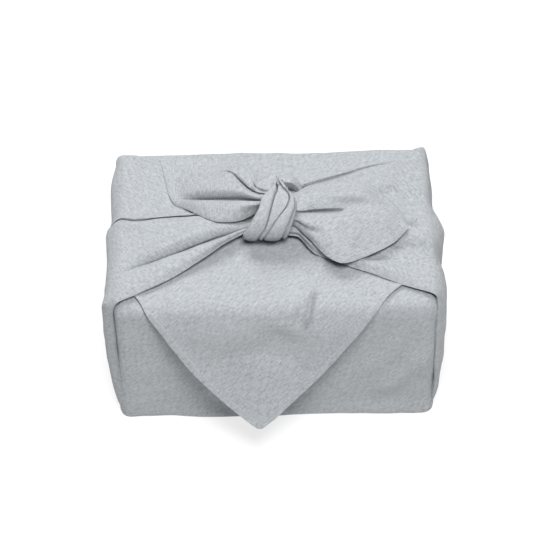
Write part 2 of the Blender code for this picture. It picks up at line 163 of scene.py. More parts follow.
class NodeGraph:
    """The node tree of one material."""

    def __init__(self, name: str) -> None:
        """Start a material with a Principled shader.

        Args:
            name: The material's name.
        """
        self.material = bpy.data.materials.new(name)
        self.material.use_nodes = True
        self.tree = self.material.node_tree
        self.shader = self.tree.nodes["Principled BSDF"]

    def add(
        self,
        kind: str,
        settings: dict[str, object] | None = None,
        values: dict[str | int, object] | None = None,
        output: int | str = 0,
    ) -> Value:
        """Add one node.

        Args:
            kind: The node's type.
            settings: The node's own settings, set first.
            values: A value or link for each of its input sockets.
            output: Which of its outputs is returned.

        Returns:
            The output, wrapped.
        """
        node = self.tree.nodes.new(kind)
        for name, setting in (settings or {}).items():
            setattr(node, name, setting)
        for socket, value in (values or {}).items():
            self.put(node.inputs[socket], value)
        return Value(self, node.outputs[output])

    def put(self, socket: bpy.types.NodeSocket, value: object) -> None:
        """Link a wrapped output to a socket, or set the socket's own value.

        Args:
            socket: The input.
            value: A wrapped output or a constant.
        """
        if isinstance(value, Value):
            self.tree.links.new(value.socket, socket)
        else:
            socket.default_value = value

    def mix(self, share: Value, low: object, high: object) -> Value:
        """Return a colour between two colours, by the node's own sockets for colours."""
        return self.add("ShaderNodeMix", {"data_type": "RGBA"}, {0: share, 6: low, 7: high}, output=2)

    def place(self) -> Value:
        """Return the place on the piece, in metres."""
        return self.add("ShaderNodeTexCoord", output="Object")

    def noise(self, place: Value, scale: float, detail: float) -> Value:
        """Return a cloudy pattern, 0 to 1."""
        return self.add("ShaderNodeTexNoise", None, {"Vector": place, "Scale": scale, "Detail": detail})

    def relief(self, height: Value, distance: float) -> Value:
        """Return the normal of a surface raised by a height times a distance."""
        return self.add("ShaderNodeBump", None, {"Distance": distance, "Height": height})

    def finish(self, **inputs: object) -> bpy.types.Material:
        """Fill the shader's sockets, named with underscores for spaces.

        Args:
            inputs: A value or link for each socket.

        Returns:
            The material.
        """
        for name, value in inputs.items():
            self.put(self.shader.inputs[name.replace("_", " ")], value)
        return self.material


# --- Finishes ---


@dataclass(frozen=True)
class SlubbedCloth:
    """Plain-weave linen and cotton, piece-dyed pale blue-grey, with slubs along both threads."""

    warp_pitch: float = 0.00066
    weft_pitch: float = 0.00074
    slub_length: float = 0.0052
    slub_width: float = 0.00085
    light: tuple[float, ...] = (0.440, 0.464, 0.484, 1.0)
    dark: tuple[float, ...] = (0.285, 0.301, 0.316, 1.0)
    # for the slubs along the weft and along the warp: share of the length, share in the sum, and seed
    weft_slubs: Point = (1.0, 0.54, 3.0)
    warp_slubs: Point = (0.6, 0.46, 17.0)
    # slub strength above which a thread is thick
    thick: tuple[float, float] = (0.52, 0.72)
    thick_rise: float = 0.4
    # how far slubs, clouds and weave move the colour, and the offset that centres them
    colour_shares: Point = (3.7, 0.25, 0.08)
    colour_offset: float = 1.48
    # scale and detail
    cloud: tuple[float, float] = (38.0, 3.0)
    crinkle: tuple[float, float] = (110.0, 2.5)
    weave_depth: float = 0.00012
    slub_depth: float = 0.00032
    crinkle_depth: float = 0.00050

    def _slubs(self, graph: NodeGraph, u: Value, v: Value, length: float, seed: float) -> Value:
        """Return streaks, 0 to 1, that run along v.

        Args:
            graph: The material's graph.
            u: Place across the streaks.
            v: Place along them.
            length: Of a streak.
            seed: Sets one pattern apart from another.

        Returns:
            The streaks.
        """
        place = graph.add(
            "ShaderNodeCombineXYZ", None, {"X": u / self.slub_width, "Y": v / length, "Z": seed}
        )
        return graph.add(
            "ShaderNodeTexNoise",
            {"noise_dimensions": "3D"},
            {"Vector": place, "Scale": 1.0, "Detail": 2.0, "Roughness": 0.6},
        )

    def make(self) -> bpy.types.Material:
        """Return the material, laid out on the cloth's own threads.

        Returns:
            The material.
        """
        graph = NodeGraph("slubbed linen cotton")
        threads = graph.add("ShaderNodeUVMap", {"uv_map": "threads"})
        parts = graph.add("ShaderNodeSeparateXYZ", None, {"Vector": threads}).socket.node
        u, v = Value(graph, parts.outputs["X"]), Value(graph, parts.outputs["Y"])

        warp = (u * (2 * math.pi / self.warp_pitch)).sine()
        weft = (v * (2 * math.pi / self.weft_pitch)).sine()
        over = (u * (math.pi / self.warp_pitch)).sine() * (v * (math.pi / self.weft_pitch)).sine()
        weave = (warp * (0.5 + over * 0.5)).maximum(weft * (0.5 - over * 0.5))

        weft_length, weft_share, weft_seed = self.weft_slubs
        warp_length, warp_share, warp_seed = self.warp_slubs
        weft_slubs = self._slubs(graph, v, u, self.slub_length * weft_length, weft_seed)
        warp_slubs = self._slubs(graph, u, v, self.slub_length * warp_length, warp_seed)
        thick = weft_slubs.between(*self.thick)
        uneven = weft_slubs * weft_share + warp_slubs * warp_share

        cloud = graph.noise(threads, *self.cloud)
        slub_share, cloud_share, weave_share = self.colour_shares
        share = uneven * slub_share + cloud * cloud_share + weave * weave_share - self.colour_offset
        crinkle = graph.noise(graph.place(), *self.crinkle)
        height = (
            weave * self.weave_depth
            + (uneven + thick * self.thick_rise) * self.slub_depth
            + crinkle * self.crinkle_depth
        )
        return graph.finish(
            Base_Color=graph.mix(share.between(0.0, 1.0), self.dark, self.light),
            Roughness=0.86 - thick * 0.05,
            Normal=graph.relief(height, 1.0),
            Sheen_Weight=0.12,
            Sheen_Roughness=0.55,
            Specular_IOR_Level=0.25,
        )


@dataclass(frozen=True)
class SewingThread:
    """Matt cotton thread of the cloth's own colour."""

    colour: tuple[float, ...] = (0.52, 0.56, 0.585, 1.0)
    shade: float = 0.82
    fibres: tuple[float, float] = (2600.0, 2.0)      # scale and detail
    fibre_depth: float = 0.00005

    def make(self) -> bpy.types.Material:
        """Return the material.

        Returns:
            The material.
        """
        graph = NodeGraph("sewing thread")
        fibres = graph.noise(graph.place(), *self.fibres)
        dark = tuple(c * self.shade for c in self.colour[:3]) + (1.0,)
        return graph.finish(
            Base_Color=graph.mix(fibres, dark, self.colour),
            Roughness=0.75,
            Normal=graph.relief(fibres, self.fibre_depth),
        )


@dataclass(frozen=True)
class GreyBoard:
    """Uncoated grey-brown box board."""

    light: tuple[float, ...] = (0.56, 0.52, 0.45, 1.0)
    dark: tuple[float, ...] = (0.44, 0.40, 0.34, 1.0)
    # scale and detail
    fibres: tuple[float, float] = (420.0, 5.0)
    patches: tuple[float, float] = (22.0, 2.0)
    fibre_depth: float = 0.0002
    fibre_share: float = 0.6
    patch_share: float = 0.4

    def make(self) -> bpy.types.Material:
        """Return the material.

        Returns:
            The material.
        """
        graph = NodeGraph("grey board")
        place = graph.place()
        fibres = graph.noise(place, *self.fibres)
        patches = graph.noise(place, *self.patches)
        share = fibres * self.fibre_share + patches * self.patch_share
        return graph.finish(
            Base_Color=graph.mix(share, self.dark, self.light),
            Roughness=0.8 + fibres * 0.1,
            Normal=graph.relief(fibres, self.fibre_depth),
        )


# --- Cloth as nets of folds ---


def smooth_through(points: np.ndarray, steps: list[int]) -> np.ndarray:
    """Carry smooth curves through points.

    Args:
        points: The points; the curves run along the first axis.
        steps: How many points to make for each span between two given points.

    Returns:
        The points on the curves, with the same later axes.
    """
    gaps = np.linalg.norm(np.diff(points, axis=0), axis=-1, keepdims=True) ** 0.5 + TINY
    leads = np.diff(points, axis=0) / gaps
    slopes = np.concatenate((leads[:1], (leads[:-1] * gaps[1:] + leads[1:] * gaps[:-1])
                             / (gaps[1:] + gaps[:-1]), leads[-1:]))
    result = []
    for i, count in enumerate(steps):
        for t in (step / count for step in range(count)):
            result.append(points[i] * (2 * t ** 3 - 3 * t ** 2 + 1)
                          + points[i + 1] * (3 * t ** 2 - 2 * t ** 3)
                          + slopes[i] * gaps[i] * (t ** 3 - 2 * t ** 2 + t)
                          + slopes[i + 1] * gaps[i] * (t ** 3 - t ** 2))
    result.append(points[-1])
    return np.array(result)


HIDDEN = 9.0         # size of the net where the cloth is out of sight (mm)
TINY = 1e-6          # keeps lengths that are divided by off nought
NO_HEM = 99.0        # distance from a hem that is nowhere near (mm)
LONG_STEP = 0.75     # share of a span's curves that are no longer than the one that sets its steps


def spans(points: np.ndarray, pitches: list[float]) -> list[int]:
    """Share each span of the first axis into steps.

    Args:
        points: The points.
        pitches: About how long a step of each span is, in millimetres.

    Returns:
        How many steps each span takes.
    """
    lengths = np.quantile(np.linalg.norm(np.diff(points, axis=0), axis=-1), LONG_STEP, axis=1)
    return [max(1, round(float(length) / pitch)) for length, pitch in zip(lengths, pitches)]


@dataclass
class Net:
    """A fine grid of points on the cloth, with its lie on the flat cloth."""

    points: np.ndarray
    threads: np.ndarray
    hem: np.ndarray
    edges: list[np.ndarray]

    @classmethod
    def through(cls, rows: list[Row], pitches: tuple[list[float], list[float]], turn: float) -> "Net":
        """Lay a net through rows of points.

        Args:
            rows: The rows, each with as many points.
            pitches: Size of a mesh in each span between rows, and in each span between columns.
            turn: Angle of the threads to the rows' order, in degrees.

        Returns:
            The net, with no hem yet.
        """
        given = np.array(rows, dtype=float)
        columns = given.transpose(1, 0, 2)
        across = smooth_through(columns, spans(columns, pitches[1]))
        grid = smooth_through(across.transpose(1, 0, 2), spans(given, pitches[0]))
        middle = grid.shape[1] // 2
        u = np.cumsum(np.linalg.norm(np.diff(grid, axis=1, prepend=grid[:, :1]), axis=-1), axis=1)
        u -= u[:, middle:middle + 1]
        v = np.cumsum(np.linalg.norm(np.diff(grid, axis=0, prepend=grid[:1]), axis=-1)[:, middle])
        v = np.repeat(v[:, None], grid.shape[1], axis=1)
        a = math.radians(turn)
        threads = np.stack((u * math.cos(a) - v * math.sin(a), u * math.sin(a) + v * math.cos(a)), axis=-1)
        return cls(grid, threads * MM, np.full(grid.shape[:2], NO_HEM), [])

    def sew_hem(self, edge: np.ndarray, rows: slice = slice(None)) -> None:
        """Mark how far each point of some rows lies from a hemmed edge."""
        self.hem[rows] = np.minimum(self.hem[rows], distance_to_path(self.points[rows], edge)[0])
        self.edges.append(edge)


def distance_to_path(points: np.ndarray, path: np.ndarray) -> tuple[np.ndarray, np.ndarray]:
    """Measure how far points lie from a path.

    Args:
        points: The points, with X, Y and Z on the last axis.
        path: The path's own points in order.

    Returns:
        The distance of each point, and its place along the path from 0 to 1.
    """
    flat = points.reshape(-1, 3)
    best = np.full(len(flat), np.inf)
    place = np.zeros(len(flat))
    lengths = np.linalg.norm(np.diff(path, axis=0), axis=1)
    starts = np.concatenate(([0.0], np.cumsum(lengths)))
    for a, b, length, start in zip(path, path[1:], lengths, starts):
        if length < TINY:
            continue
        along = np.clip((flat - a) @ (b - a) / length ** 2, 0.0, 1.0)
        distance = np.linalg.norm(flat - (a + along[:, None] * (b - a)), axis=1)
        nearer = distance < best
        best = np.where(nearer, distance, best)
        place = np.where(nearer, (start + along * length) / starts[-1], place)
    shape = points.shape[:-1]
    return best.reshape(shape), place.reshape(shape)


def soft_step(value: np.ndarray, low: float, high: float) -> np.ndarray:
    """Return a soft step from 0 at one number to 1 at the other."""
    t = np.clip((value - low) / (high - low), 0.0, 1.0)
    return t * t * (3 - 2 * t)


@dataclass(frozen=True)
class Crease:
    """One listed trough or ridge laid on the cloth.

    height is in millimetres, below nought for a trough; width is the half-width; fades are the shares of
    the path over which it grows at the start and dies away at the end, nought for none.
    """

    path: tuple[Point, ...]
    height: float
    width: float
    fades: tuple[float, float] = (0.35, 0.35)

    def _on_cloth(self, points: np.ndarray, normals: np.ndarray) -> np.ndarray:
        """Return the path, each of its points moved straight on to the cloth.

        Args:
            points: The cloth's points.
            normals: The way out of the cloth at each.

        Returns:
            The path.
        """
        path = []
        for point in np.array(self.path, dtype=float):
            nearest = int(np.argmin(((points - point) ** 2).sum(axis=1)))
            normal = normals[nearest]
            path.append(point + normal * float((points[nearest] - point) @ normal))
        return np.array(path)

    def lift(self, points: np.ndarray, normals: np.ndarray) -> np.ndarray:
        """Return how far the crease lifts each point.

        Args:
            points: The cloth's points.
            normals: The way out of the cloth at each.

        Returns:
            The lift of each, in millimetres.
        """
        distance, place = distance_to_path(points, self._on_cloth(points, normals))
        profile = np.exp(-(distance / self.width) ** 2)
        grow, die = self.fades
        taper = np.ones_like(place)
        if grow:
            taper = taper * soft_step(place, 0.0, grow)
        if die:
            taper = taper * soft_step(1.0 - place, 0.0, die)
        return self.height * profile * taper


@dataclass(frozen=True)
class Unevenness:
    """The soft unevenness of washed cloth, the same in all layers that lie on one another."""

    # length and height in millimetres, and how many waves of them cross
    waves: tuple[tuple[float, float, int], ...] = ((62.0, 0.30, 5), (27.0, 0.16, 7), (13.0, 0.07, 9))
    gain: float = 1.6
    seed: int = 5

    def lift(self, points: np.ndarray) -> np.ndarray:
        """Return how far each point stands off.

        Args:
            points: The cloth's points, in millimetres.

        Returns:
            The lift of each, in millimetres.
        """
        draw = np.random.default_rng(self.seed)
        total = np.zeros(len(points))
        for length, height, count in self.waves:
            for _ in range(count):
                direction = draw.normal(size=3)
                direction /= np.linalg.norm(direction)
                phase = draw.uniform(0, 2 * math.pi)
                total += height / math.sqrt(count) * self.gain * np.sin(
                    points @ direction * 2 * math.pi / length + phase)
        return total


@dataclass(frozen=True)
class Hem:
    """A narrow double hem sewn with one line of stitches."""

    width: float = 5.0
    fold: float = 0.6
    rise: float = 0.85
    stitch_in: float = 4.0
    least_in: float = 0.7        # a stitch that lies nearer the edge, as a share of stitch_in, is left out
    stitch_pitch: float = 3.0
    stitch_length: float = 2.1
    stitch_width: float = 0.65
    stitch_height: float = 0.42
    stitch_sides: int = 6
    groove: float = 0.60
    groove_width: float = 0.7
    corner: float = 5.5          # from an edge's end to its first stitch

    def lift(self, distance: np.ndarray) -> np.ndarray:
        """Return how far the doubled edge stands off at each distance from it.

        Args:
            distance: Distances from the edge, in millimetres.

        Returns:
            The lift at each, in millimetres.
        """
        doubled = self.rise * (1.0 - soft_step(distance, self.width - self.fold, self.width + self.fold))
        seam = self.groove * np.exp(-((distance - self.stitch_in) / self.groove_width) ** 2)
        return doubled - seam


HEM = Hem()


class ClothBuilder:
    """Gathers the laps of the one cloth and joins them into a single piece."""

    merge: float = 0.02          # points this close are one, and edges half as long go (mm)
    smooth_angle: float = 50.0

    def __init__(self) -> None:
        """Start with no laps."""
        self.laps: list[bpy.types.Object] = []
        self.stitches: list[tuple[Vector, Vector, Vector]] = []

    def _mesh(self, name: str, net: Net, flip: bool) -> bpy.types.Object:
        """Add a lap's mesh with its threads and hem distance, its doubles merged.

        Args:
            name: The lap's name.
            net: Its net of points.
            flip: Whether the net's faces point inwards.

        Returns:
            The lap, as thin as paper.
        """
        rows, columns = net.points.shape[:2]
        index = np.arange(rows * columns).reshape(rows, columns)
        quads = np.stack((index[:-1, :-1], index[:-1, 1:], index[1:, 1:], index[1:, :-1]), axis=-1)
        quads = quads.reshape(-1, 4)
        if flip:
            quads = quads[:, ::-1]
        mesh = bpy.data.meshes.new(name)
        mesh.from_pydata((net.points.reshape(-1, 3) * MM).tolist(), [], quads.tolist())
        layer = mesh.uv_layers.new(name="threads")
        layer.data.foreach_set("uv", net.threads.reshape(-1, 2)[quads.reshape(-1)].reshape(-1))
        hem = mesh.attributes.new("hem", "FLOAT", "POINT")
        hem.data.foreach_set("value", net.hem.reshape(-1))
        shape = bmesh.new()
        shape.from_mesh(mesh)
        bmesh.ops.remove_doubles(shape, verts=shape.verts, dist=self.merge * MM)
        bmesh.ops.dissolve_degenerate(shape, edges=shape.edges, dist=self.merge / 2 * MM)
        shape.to_mesh(mesh)
        shape.free()
        return put_in_scene(name, mesh)

    def add(
        self,
        name: str,
        net: Net,
        thickness: float,
        creases: tuple[Crease, ...] = (),
        flip: bool = False,
        uneven: float = 1.0,
    ) -> None:
        """Add one lap of the cloth.

        Args:
            name: The lap's name.
            net: Its net of points.
            thickness: Of the cloth, in millimetres.
            creases: The creases laid on it.
            flip: Whether the net's faces point inwards.
            uneven: Share of the cloth's unevenness that the lap takes.
        """
        lap = self._mesh(name, net, flip)
        mesh = lap.data
        count = len(mesh.vertices)
        places, normals, hem = np.empty(count * 3), np.empty(count * 3), np.empty(count)
        mesh.vertices.foreach_get("co", places)
        mesh.vertex_normals.foreach_get("vector", normals)
        mesh.attributes["hem"].data.foreach_get("value", hem)
        places, normals = places.reshape(-1, 3), normals.reshape(-1, 3)
        millimetres = places / MM
        lift = Unevenness().lift(millimetres) * uneven + HEM.lift(hem)
        for crease in creases:
            lift += crease.lift(millimetres, normals)
        places = places + normals * lift[:, None] * MM
        places[:, 2] = np.maximum(places[:, 2], 0.0)
        mesh.vertices.foreach_set("co", places.reshape(-1))
        mesh.update()
        self._sew(mesh, net.edges)
        solidify = lap.modifiers.new("Cloth thickness", "SOLIDIFY")
        solidify.thickness = thickness * MM
        solidify.offset = -1.0
        select_only(lap)
        bpy.ops.object.modifier_apply(modifier=solidify.name)
        for vertex in mesh.vertices:
            vertex.co.z = max(vertex.co.z, 0.0)
        self.laps.append(lap)
        log.info("%s: %d faces", name, len(mesh.polygons))

    def _sew(self, mesh: bpy.types.Mesh, edges: list[np.ndarray]) -> None:
        """Note a stitch at every pitch along each hemmed edge.

        Args:
            mesh: The lap.
            edges: Its hemmed edges.
        """
        if not edges:
            return
        shape = bmesh.new()
        shape.from_mesh(mesh)
        surface = BVHTree.FromBMesh(shape)
        shape.free()
        for edge in edges:
            lengths = np.concatenate(([0.0], np.cumsum(np.linalg.norm(np.diff(edge, axis=0), axis=1))))
            for at in np.arange(HEM.corner, lengths[-1] - HEM.corner, HEM.stitch_pitch):
                here, ahead = (Vector([np.interp(reach, lengths, edge[:, k]) for k in range(3)]) * MM
                               for reach in (at, at + 1.0))
                along = (ahead - here).normalized()
                inward = surface.find_nearest(here)[1].cross(along) * HEM.stitch_in * MM
                found = (surface.find_nearest(here + way * inward) for way in (1.0, -1.0))
                place, normal, _, _ = max(found, key=lambda hit: (hit[0] - here).length)
                if (place - here).length > HEM.least_in * HEM.stitch_in * MM:
                    self.stitches.append((place, normal, along))

    def _add_stitches(self, material: bpy.types.Material) -> None:
        """Add all stitches as small raised dashes in one mesh.

        Args:
            material: Of the thread.
        """
        sides = HEM.stitch_sides
        ring = [(math.cos(a), math.sin(a)) for a in (2 * math.pi * k / sides for k in range(sides))]
        # place along the stitch and share of its thickness
        stations = ((-1.0, 0.0), (-0.8, 0.7), (0.0, 1.0), (0.8, 0.7), (1.0, 0.0))
        vertices, faces = [], []
        for place, normal, along in self.stitches:
            side = normal.cross(along).normalized()
            start = len(vertices)
            for share, size in stations:
                centre = place + along * (share * HEM.stitch_length * MM / 2)
                for across, up in ring if size else ring[:1]:
                    vertices.append(centre + side * (across * size * HEM.stitch_width * MM / 2)
                                    + normal * (up * size * HEM.stitch_height * MM))
            for k in range(sides):
                after = (k + 1) % sides
                faces.append((start, start + 1 + after, start + 1 + k))
                for low in (start + 1, start + 1 + sides):
                    faces.append((low + k, low + after, low + sides + after, low + sides + k))
                last = start + 1 + 2 * sides
                faces.append((last + k, last + after, last + sides))
        mesh = bpy.data.meshes.new("stitches")
        mesh.from_pydata([tuple(v) for v in vertices], [], faces)
        mesh.materials.append(material)
        self.laps.append(put_in_scene("stitches", mesh))

    def join(self, name: str, cloth: bpy.types.Material, thread: bpy.types.Material) -> bpy.types.Object:
        """Join all laps and stitches into one piece.

        Args:
            name: The piece's name.
            cloth: Material of the cloth.
            thread: Material of the stitches.

        Returns:
            The piece.
        """
        for lap in self.laps:
            lap.data.materials.append(cloth)
        self._add_stitches(thread)
        select_only(*self.laps)
        bpy.ops.object.join()
        piece = bpy.context.view_layer.objects.active
        piece.name = piece.data.name = name
        bpy.ops.object.shade_smooth_by_angle(angle=math.radians(self.smooth_angle))
        select_only()
        return piece


# --- The sleeve: near corner, front, base, back, lid and flap ---


@dataclass(frozen=True)
class Core:
    """The cloth-covered box that the bands are tied round."""

    half_width: float = 114.6
    front: float = -80.0
    back: float = 81.0
    lid: float = 115.0
    inner: float = 113.2
    radius: float = 8.0
    base_radius: float = 1.6

    @property
    def round_x(self) -> float:
        """Centre of the upright edges' rounding."""
        return self.half_width - self.radius


CORE = Core()
ROUND_X = CORE.round_x


def outward(wall: float) -> float:
    """Return the sign of Y away from the box at a wall."""
    return -1.0 if wall < 0 else 1.0


@dataclass
class Sleeve:
    """The cloth from the near corner round the box to the flap's tip, with its side tabs."""

    turn: float = 45.0
    columns: int = 9
    corner_shares: tuple[float, ...] = (0.25, 0.5, 0.75, 1.0)
    tab_shares: tuple[float, ...] = (0.5, 1.0)
    # share of the tab's reach and depth under it: the tab doubles back to the corner
    tab_return: tuple[tuple[float, float], ...] = ((0.995, 1.1), (0.97, 2.15), (0.12, 2.15))
    thickness: float = 1.1
    # finer at both hems and where the flap is pinched
    middle_pitches: tuple[float, ...] = (2.2, 4.4, 4.4, 4.4, 4.4, 1.5, 4.4, 2.2)
    wall_pitch: float = 3.2
    back_pitch: float = 7.0
    lid_pitch: float = 5.0
    flap_pitch: float = 2.1
    # height z, degrees that the cloth turns round the upright edge, reach of the tab past it
    tabs: tuple[Point, ...] = (
        (80.0, 90, 71.0), (55.0, 90, 62.0), (30.0, 90, 40.0), (14.0, 84, 6.0), (3.0, 68, 0.0),
    )
    front_top_tab: Point = (105.2, 90, 71.0)
    back_top_tab: Point = (107.0, 90, 71.0)
    # degrees and reach of the rows round the lid's edge, and round the base's
    over_top: tuple[tuple[float, float], ...] = ((0, 0.0), (90, 30.0), (90, 48.0), (90, 62.0), (90, 71.0))
    under_base: tuple[tuple[float, float], ...] = ((62, 0.0), (50, 0.0), (36, 0.0), (0, 0.0))
    base_y: Point = (-36.0, 0.0, 36.0)
    # rows of the far corner: the first that is hemmed, and the first of the flap
    hem_from: int = 3
    flap_from: int = 5
    # y, z, left edge x, right edge x, from the tip, which is folded back under
    near_corner: tuple[Station, ...] = (
        (-58.0, 110.9, -5.0, 5.0),
        (0.0, 110.9, -58.0, 58.0),
        (64.0, 110.9, -ROUND_X, ROUND_X),
        (71.0, 112.0, -ROUND_X, ROUND_X),
        (64.0, 113.2, -ROUND_X, ROUND_X),
        (0.0, 113.2, -ROUND_X, ROUND_X),
        (-45.0, 113.2, -ROUND_X, ROUND_X),
    )
    # y, z, left edge x, right edge x
    far_corner: tuple[Station, ...] = (
        (66.0, 115.0, -ROUND_X, ROUND_X),
        (40.0, 115.0, -ROUND_X, ROUND_X),
        (0.0, 115.0, -ROUND_X, ROUND_X),
        (-35.0, 115.0, -ROUND_X, 104.0),
        (-56.0, 115.1, -106.0, 94.5),
        (-67.5, 115.2, -98.5, 84.0),
        (-74.8, 114.5, -94.0, 77.5),
        (-80.6, 111.4, -91.0, 72.5),
        (-84.6, 105.5, -86.5, 67.0),
        (-87.6, 97.5, -80.3, 60.5),
        (-90.2, 80.2, -70.0, 48.4),
        (-95.0, 65.8, -60.0, 36.3),
        (-102.0, 53.8, -48.0, 22.5),
        (-109.6, 44.0, -35.0, 9.0),
        (-116.6, 37.4, -23.5, -1.5),
        (-119.6, 34.8, -18.6, -6.8),
        (-121.8, 32.8, -14.6, -11.0),
    )
    creases: tuple[Crease, ...] = (
        # swells on either side of the soft valley from the knot
        Crease(((34, -24, 115), (33, -42, 115), (31, -60, 115)), 3.0, 4.6),
        Crease(((-12, -26, 115), (-16, -42, 115), (-22, -62, 115)), 2.8, 9.0),
        # the short pinch over the lid's front edge, and the folds that stand beside it
        Crease(((28.2, -60, 116), (26.8, -69, 116), (25.0, -76, 114.5), (23.2, -82, 110), (20.8, -88, 98)),
               5.0, 2.0, fades=(0.35, 0.25)),
        Crease(((20.4, -70, 115), (19.2, -76, 114.5), (17.2, -82, 110), (14.6, -88, 98)),
               -2.3, 2.8, fades=(0.4, 0.4)),
        # broad hollow under the pinch, and a soft swell on either side
        Crease(((6, -86, 104), (-2, -91, 86), (-10, -97, 66)), -3.2, 17.0),
        Crease(((-50, -84, 108), (-44, -88, 92), (-36, -95, 74)), 1.6, 15.0),
        Crease(((44, -82, 108), (34, -89, 90), (22, -98, 64)), 1.8, 10.0),
        # the flap's left edge, which stands off the panel
        Crease(((-86, -84, 104), (-78, -88, 92), (-60, -95, 66), (-38, -108, 45)), 2.6, 9.0,
               fades=(0.5, 0.6)),
        # front panel: diagonal fold on the right between two swells, its foot pushed out, the right edge
        Crease(((98, -80, 92), (78, -80, 60), (50, -80, 26)), 2.2, 8.0),
        Crease(((113, -80, 74), (95, -80, 46), (68, -80, 14)), 4.4, 8.0),
        Crease(((10, -80, 1), (60, -80, 1), (108, -80, 1)), 3.0, 9.0, fades=(0.8, 0.0)),
        Crease(((-90, -80, 1), (-25, -80, 1), (45, -80, 1)), 2.4, 8.0, fades=(0.4, 0.4)),
        Crease(((99, -80, 108), (105, -80, 74), (107, -80, 30)), 1.4, 4.0),
        Crease(((-104, -80, 47), (-88, -80, 48), (-70, -80, 51)), 0.5, 2.4),
        Crease(((-104, -80, 38), (-90, -80, 39.5), (-70, -80, 42)), 0.5, 2.4),
        Crease(((-102, -80, 29), (-86, -80, 30), (-64, -80, 33)), 0.6, 2.6),
        Crease(((-100, -80, 20), (-84, -80, 21), (-66, -80, 24)), 0.5, 2.4),
        # lid, behind the tails
        Crease(((-60, 72, 115), (-10, 66, 115), (40, 74, 115)), 0.6, 8.0),
    )

    def _corner(
        self, z: float, edge: Side, wall: float, turn: float, reach: float, depth: float
    ) -> list[Point]:
        """Carry a wall's cloth round an upright edge and on as a tab.

        Args:
            z: Height.
            edge: Which upright edge.
            wall: Y of the rounding's centre.
            turn: Angle round the edge, in degrees.
            reach: The tab's length past it.
            depth: Radius of the rounding at this height.

        Returns:
            The points, from the wall outwards.
        """
        side, toward = edge.value, outward(wall)
        points = []
        for share in self.corner_shares:
            angle = math.radians(turn) * share
            points.append((side * (ROUND_X + depth * math.sin(angle)),
                           wall + toward * depth * math.cos(angle), z))
        end_x, end_y, _ = points[-1]
        points += [(end_x, end_y - toward * reach * share, z) for share in self.tab_shares]
        # only a tab on a wall's full depth doubles back
        doubled = depth > CORE.radius - 0.01 and reach > 0
        last_x, last_y, _ = points[-1]
        return points + [(end_x - side * under, end_y - toward * reach * share, z) if doubled
                         else (last_x, last_y, z) for share, under in self.tab_return]

    def _row(self, y: float, z: float, left: float, right: float, corner: tuple | None = None) -> Row:
        """Return one row from the left tab to the right tab.

        Args:
            y: Y of the row.
            z: Its height.
            left: X of its left end.
            right: X of its right end.
            corner: What _corner takes after the edge; with none, the tabs shrink to the ends.

        Returns:
            The row.
        """
        middle = [(left + (right - left) * k / (self.columns - 1), y, z) for k in range(self.columns)]
        if corner is None:
            extra = len(self.corner_shares) + len(self.tab_shares) + len(self.tab_return)
            return tuple([middle[0]] * extra + middle + [middle[-1]] * extra)
        left_tab, right_tab = (self._corner(z, side, *corner) for side in Side)
        return tuple(left_tab[::-1] + middle + right_tab)

    def _rounding(self, wall: float, height: float, radius: float, start: float, end: float,
                  turns: tuple[tuple[float, float], ...]) -> list[Row]:
        """Return the rows round an edge along X.

        Args:
            wall: Y of the wall.
            height: Z of the level face that the wall meets.
            radius: Of the rounding.
            start: First angle above the horizontal, in degrees.
            end: Last angle.
            turns: For each row, the degrees round the upright edge and the tab's reach.

        Returns:
            The rows.
        """
        toward = outward(wall)
        centre = height - radius if start + end > 0 else height + radius
        rows = []
        for (turn, reach), angle in zip(turns, np.radians(np.linspace(start, end, len(turns)))):
            inset = radius * (1.0 - math.cos(angle))
            z = centre + radius * math.sin(angle)
            corner = (wall - toward * CORE.radius, turn, reach, CORE.radius - inset) if turn else None
            rows.append(self._row(wall - toward * inset, z, -ROUND_X, ROUND_X, corner))
        return rows

    def _wall(self, wall: float, tabs: tuple[Point, ...]) -> list[Row]:
        """Return the rows of an upright wall with its tabs.

        Args:
            wall: Y of the wall.
            tabs: The tab at each height.

        Returns:
            The rows.
        """
        toward = outward(wall)
        centre = wall - toward * CORE.radius
        return [self._row(wall, z, -ROUND_X, ROUND_X, (centre, turn, reach, CORE.radius))
                for z, turn, reach in tabs]

    def build(self, cloth: ClothBuilder) -> None:
        """Add the sleeve to the cloth.

        Args:
            cloth: Takes the laps.
        """
        over_top, under_base, top, base = self.over_top, self.under_base, CORE.radius, CORE.base_radius
        far = [self._row(*line) for line in self.far_corner]
        parts = (
            ([self._row(*line) for line in self.near_corner], HIDDEN),
            (self._rounding(CORE.front, CORE.inner, top, 90, 0, over_top)[:-1], self.wall_pitch),
            (self._wall(CORE.front, (self.front_top_tab, *self.tabs)), self.wall_pitch),
            (self._rounding(CORE.front, 0.0, base, 0, -90, under_base)[1:], self.wall_pitch),
            ([self._row(y, 0.0, -ROUND_X, ROUND_X) for y in self.base_y], HIDDEN),
            (self._rounding(CORE.back, 0.0, base, -90, 0, under_base[::-1])[:-1], self.wall_pitch),
            (self._wall(CORE.back, (*self.tabs[::-1], self.back_top_tab)), self.back_pitch),
            (self._rounding(CORE.back, CORE.lid, top, 0, 90, over_top[::-1])[1:], self.wall_pitch),
            (far[:self.flap_from], self.lid_pitch),
            (far[self.flap_from:], self.flap_pitch),
        )
        rows = [row for part, _ in parts for row in part]
        row_pitches = [pitch for part, pitch in parts for _ in part][1:]
        tabs = [HIDDEN] * (len(self.tab_shares) + len(self.tab_return))
        corner = [self.wall_pitch] * len(self.corner_shares)
        middle = corner + list(self.middle_pitches) + corner
        net = Net.through(rows, (row_pitches, tabs + middle + tabs), self.turn)
        first = sum(spans(np.array(rows), row_pitches)[:len(rows) - len(far) + self.hem_from])
        flap = slice(first, None)
        net.sew_hem(net.points[flap, 0], flap)
        net.sew_hem(net.points[flap, -1], flap)
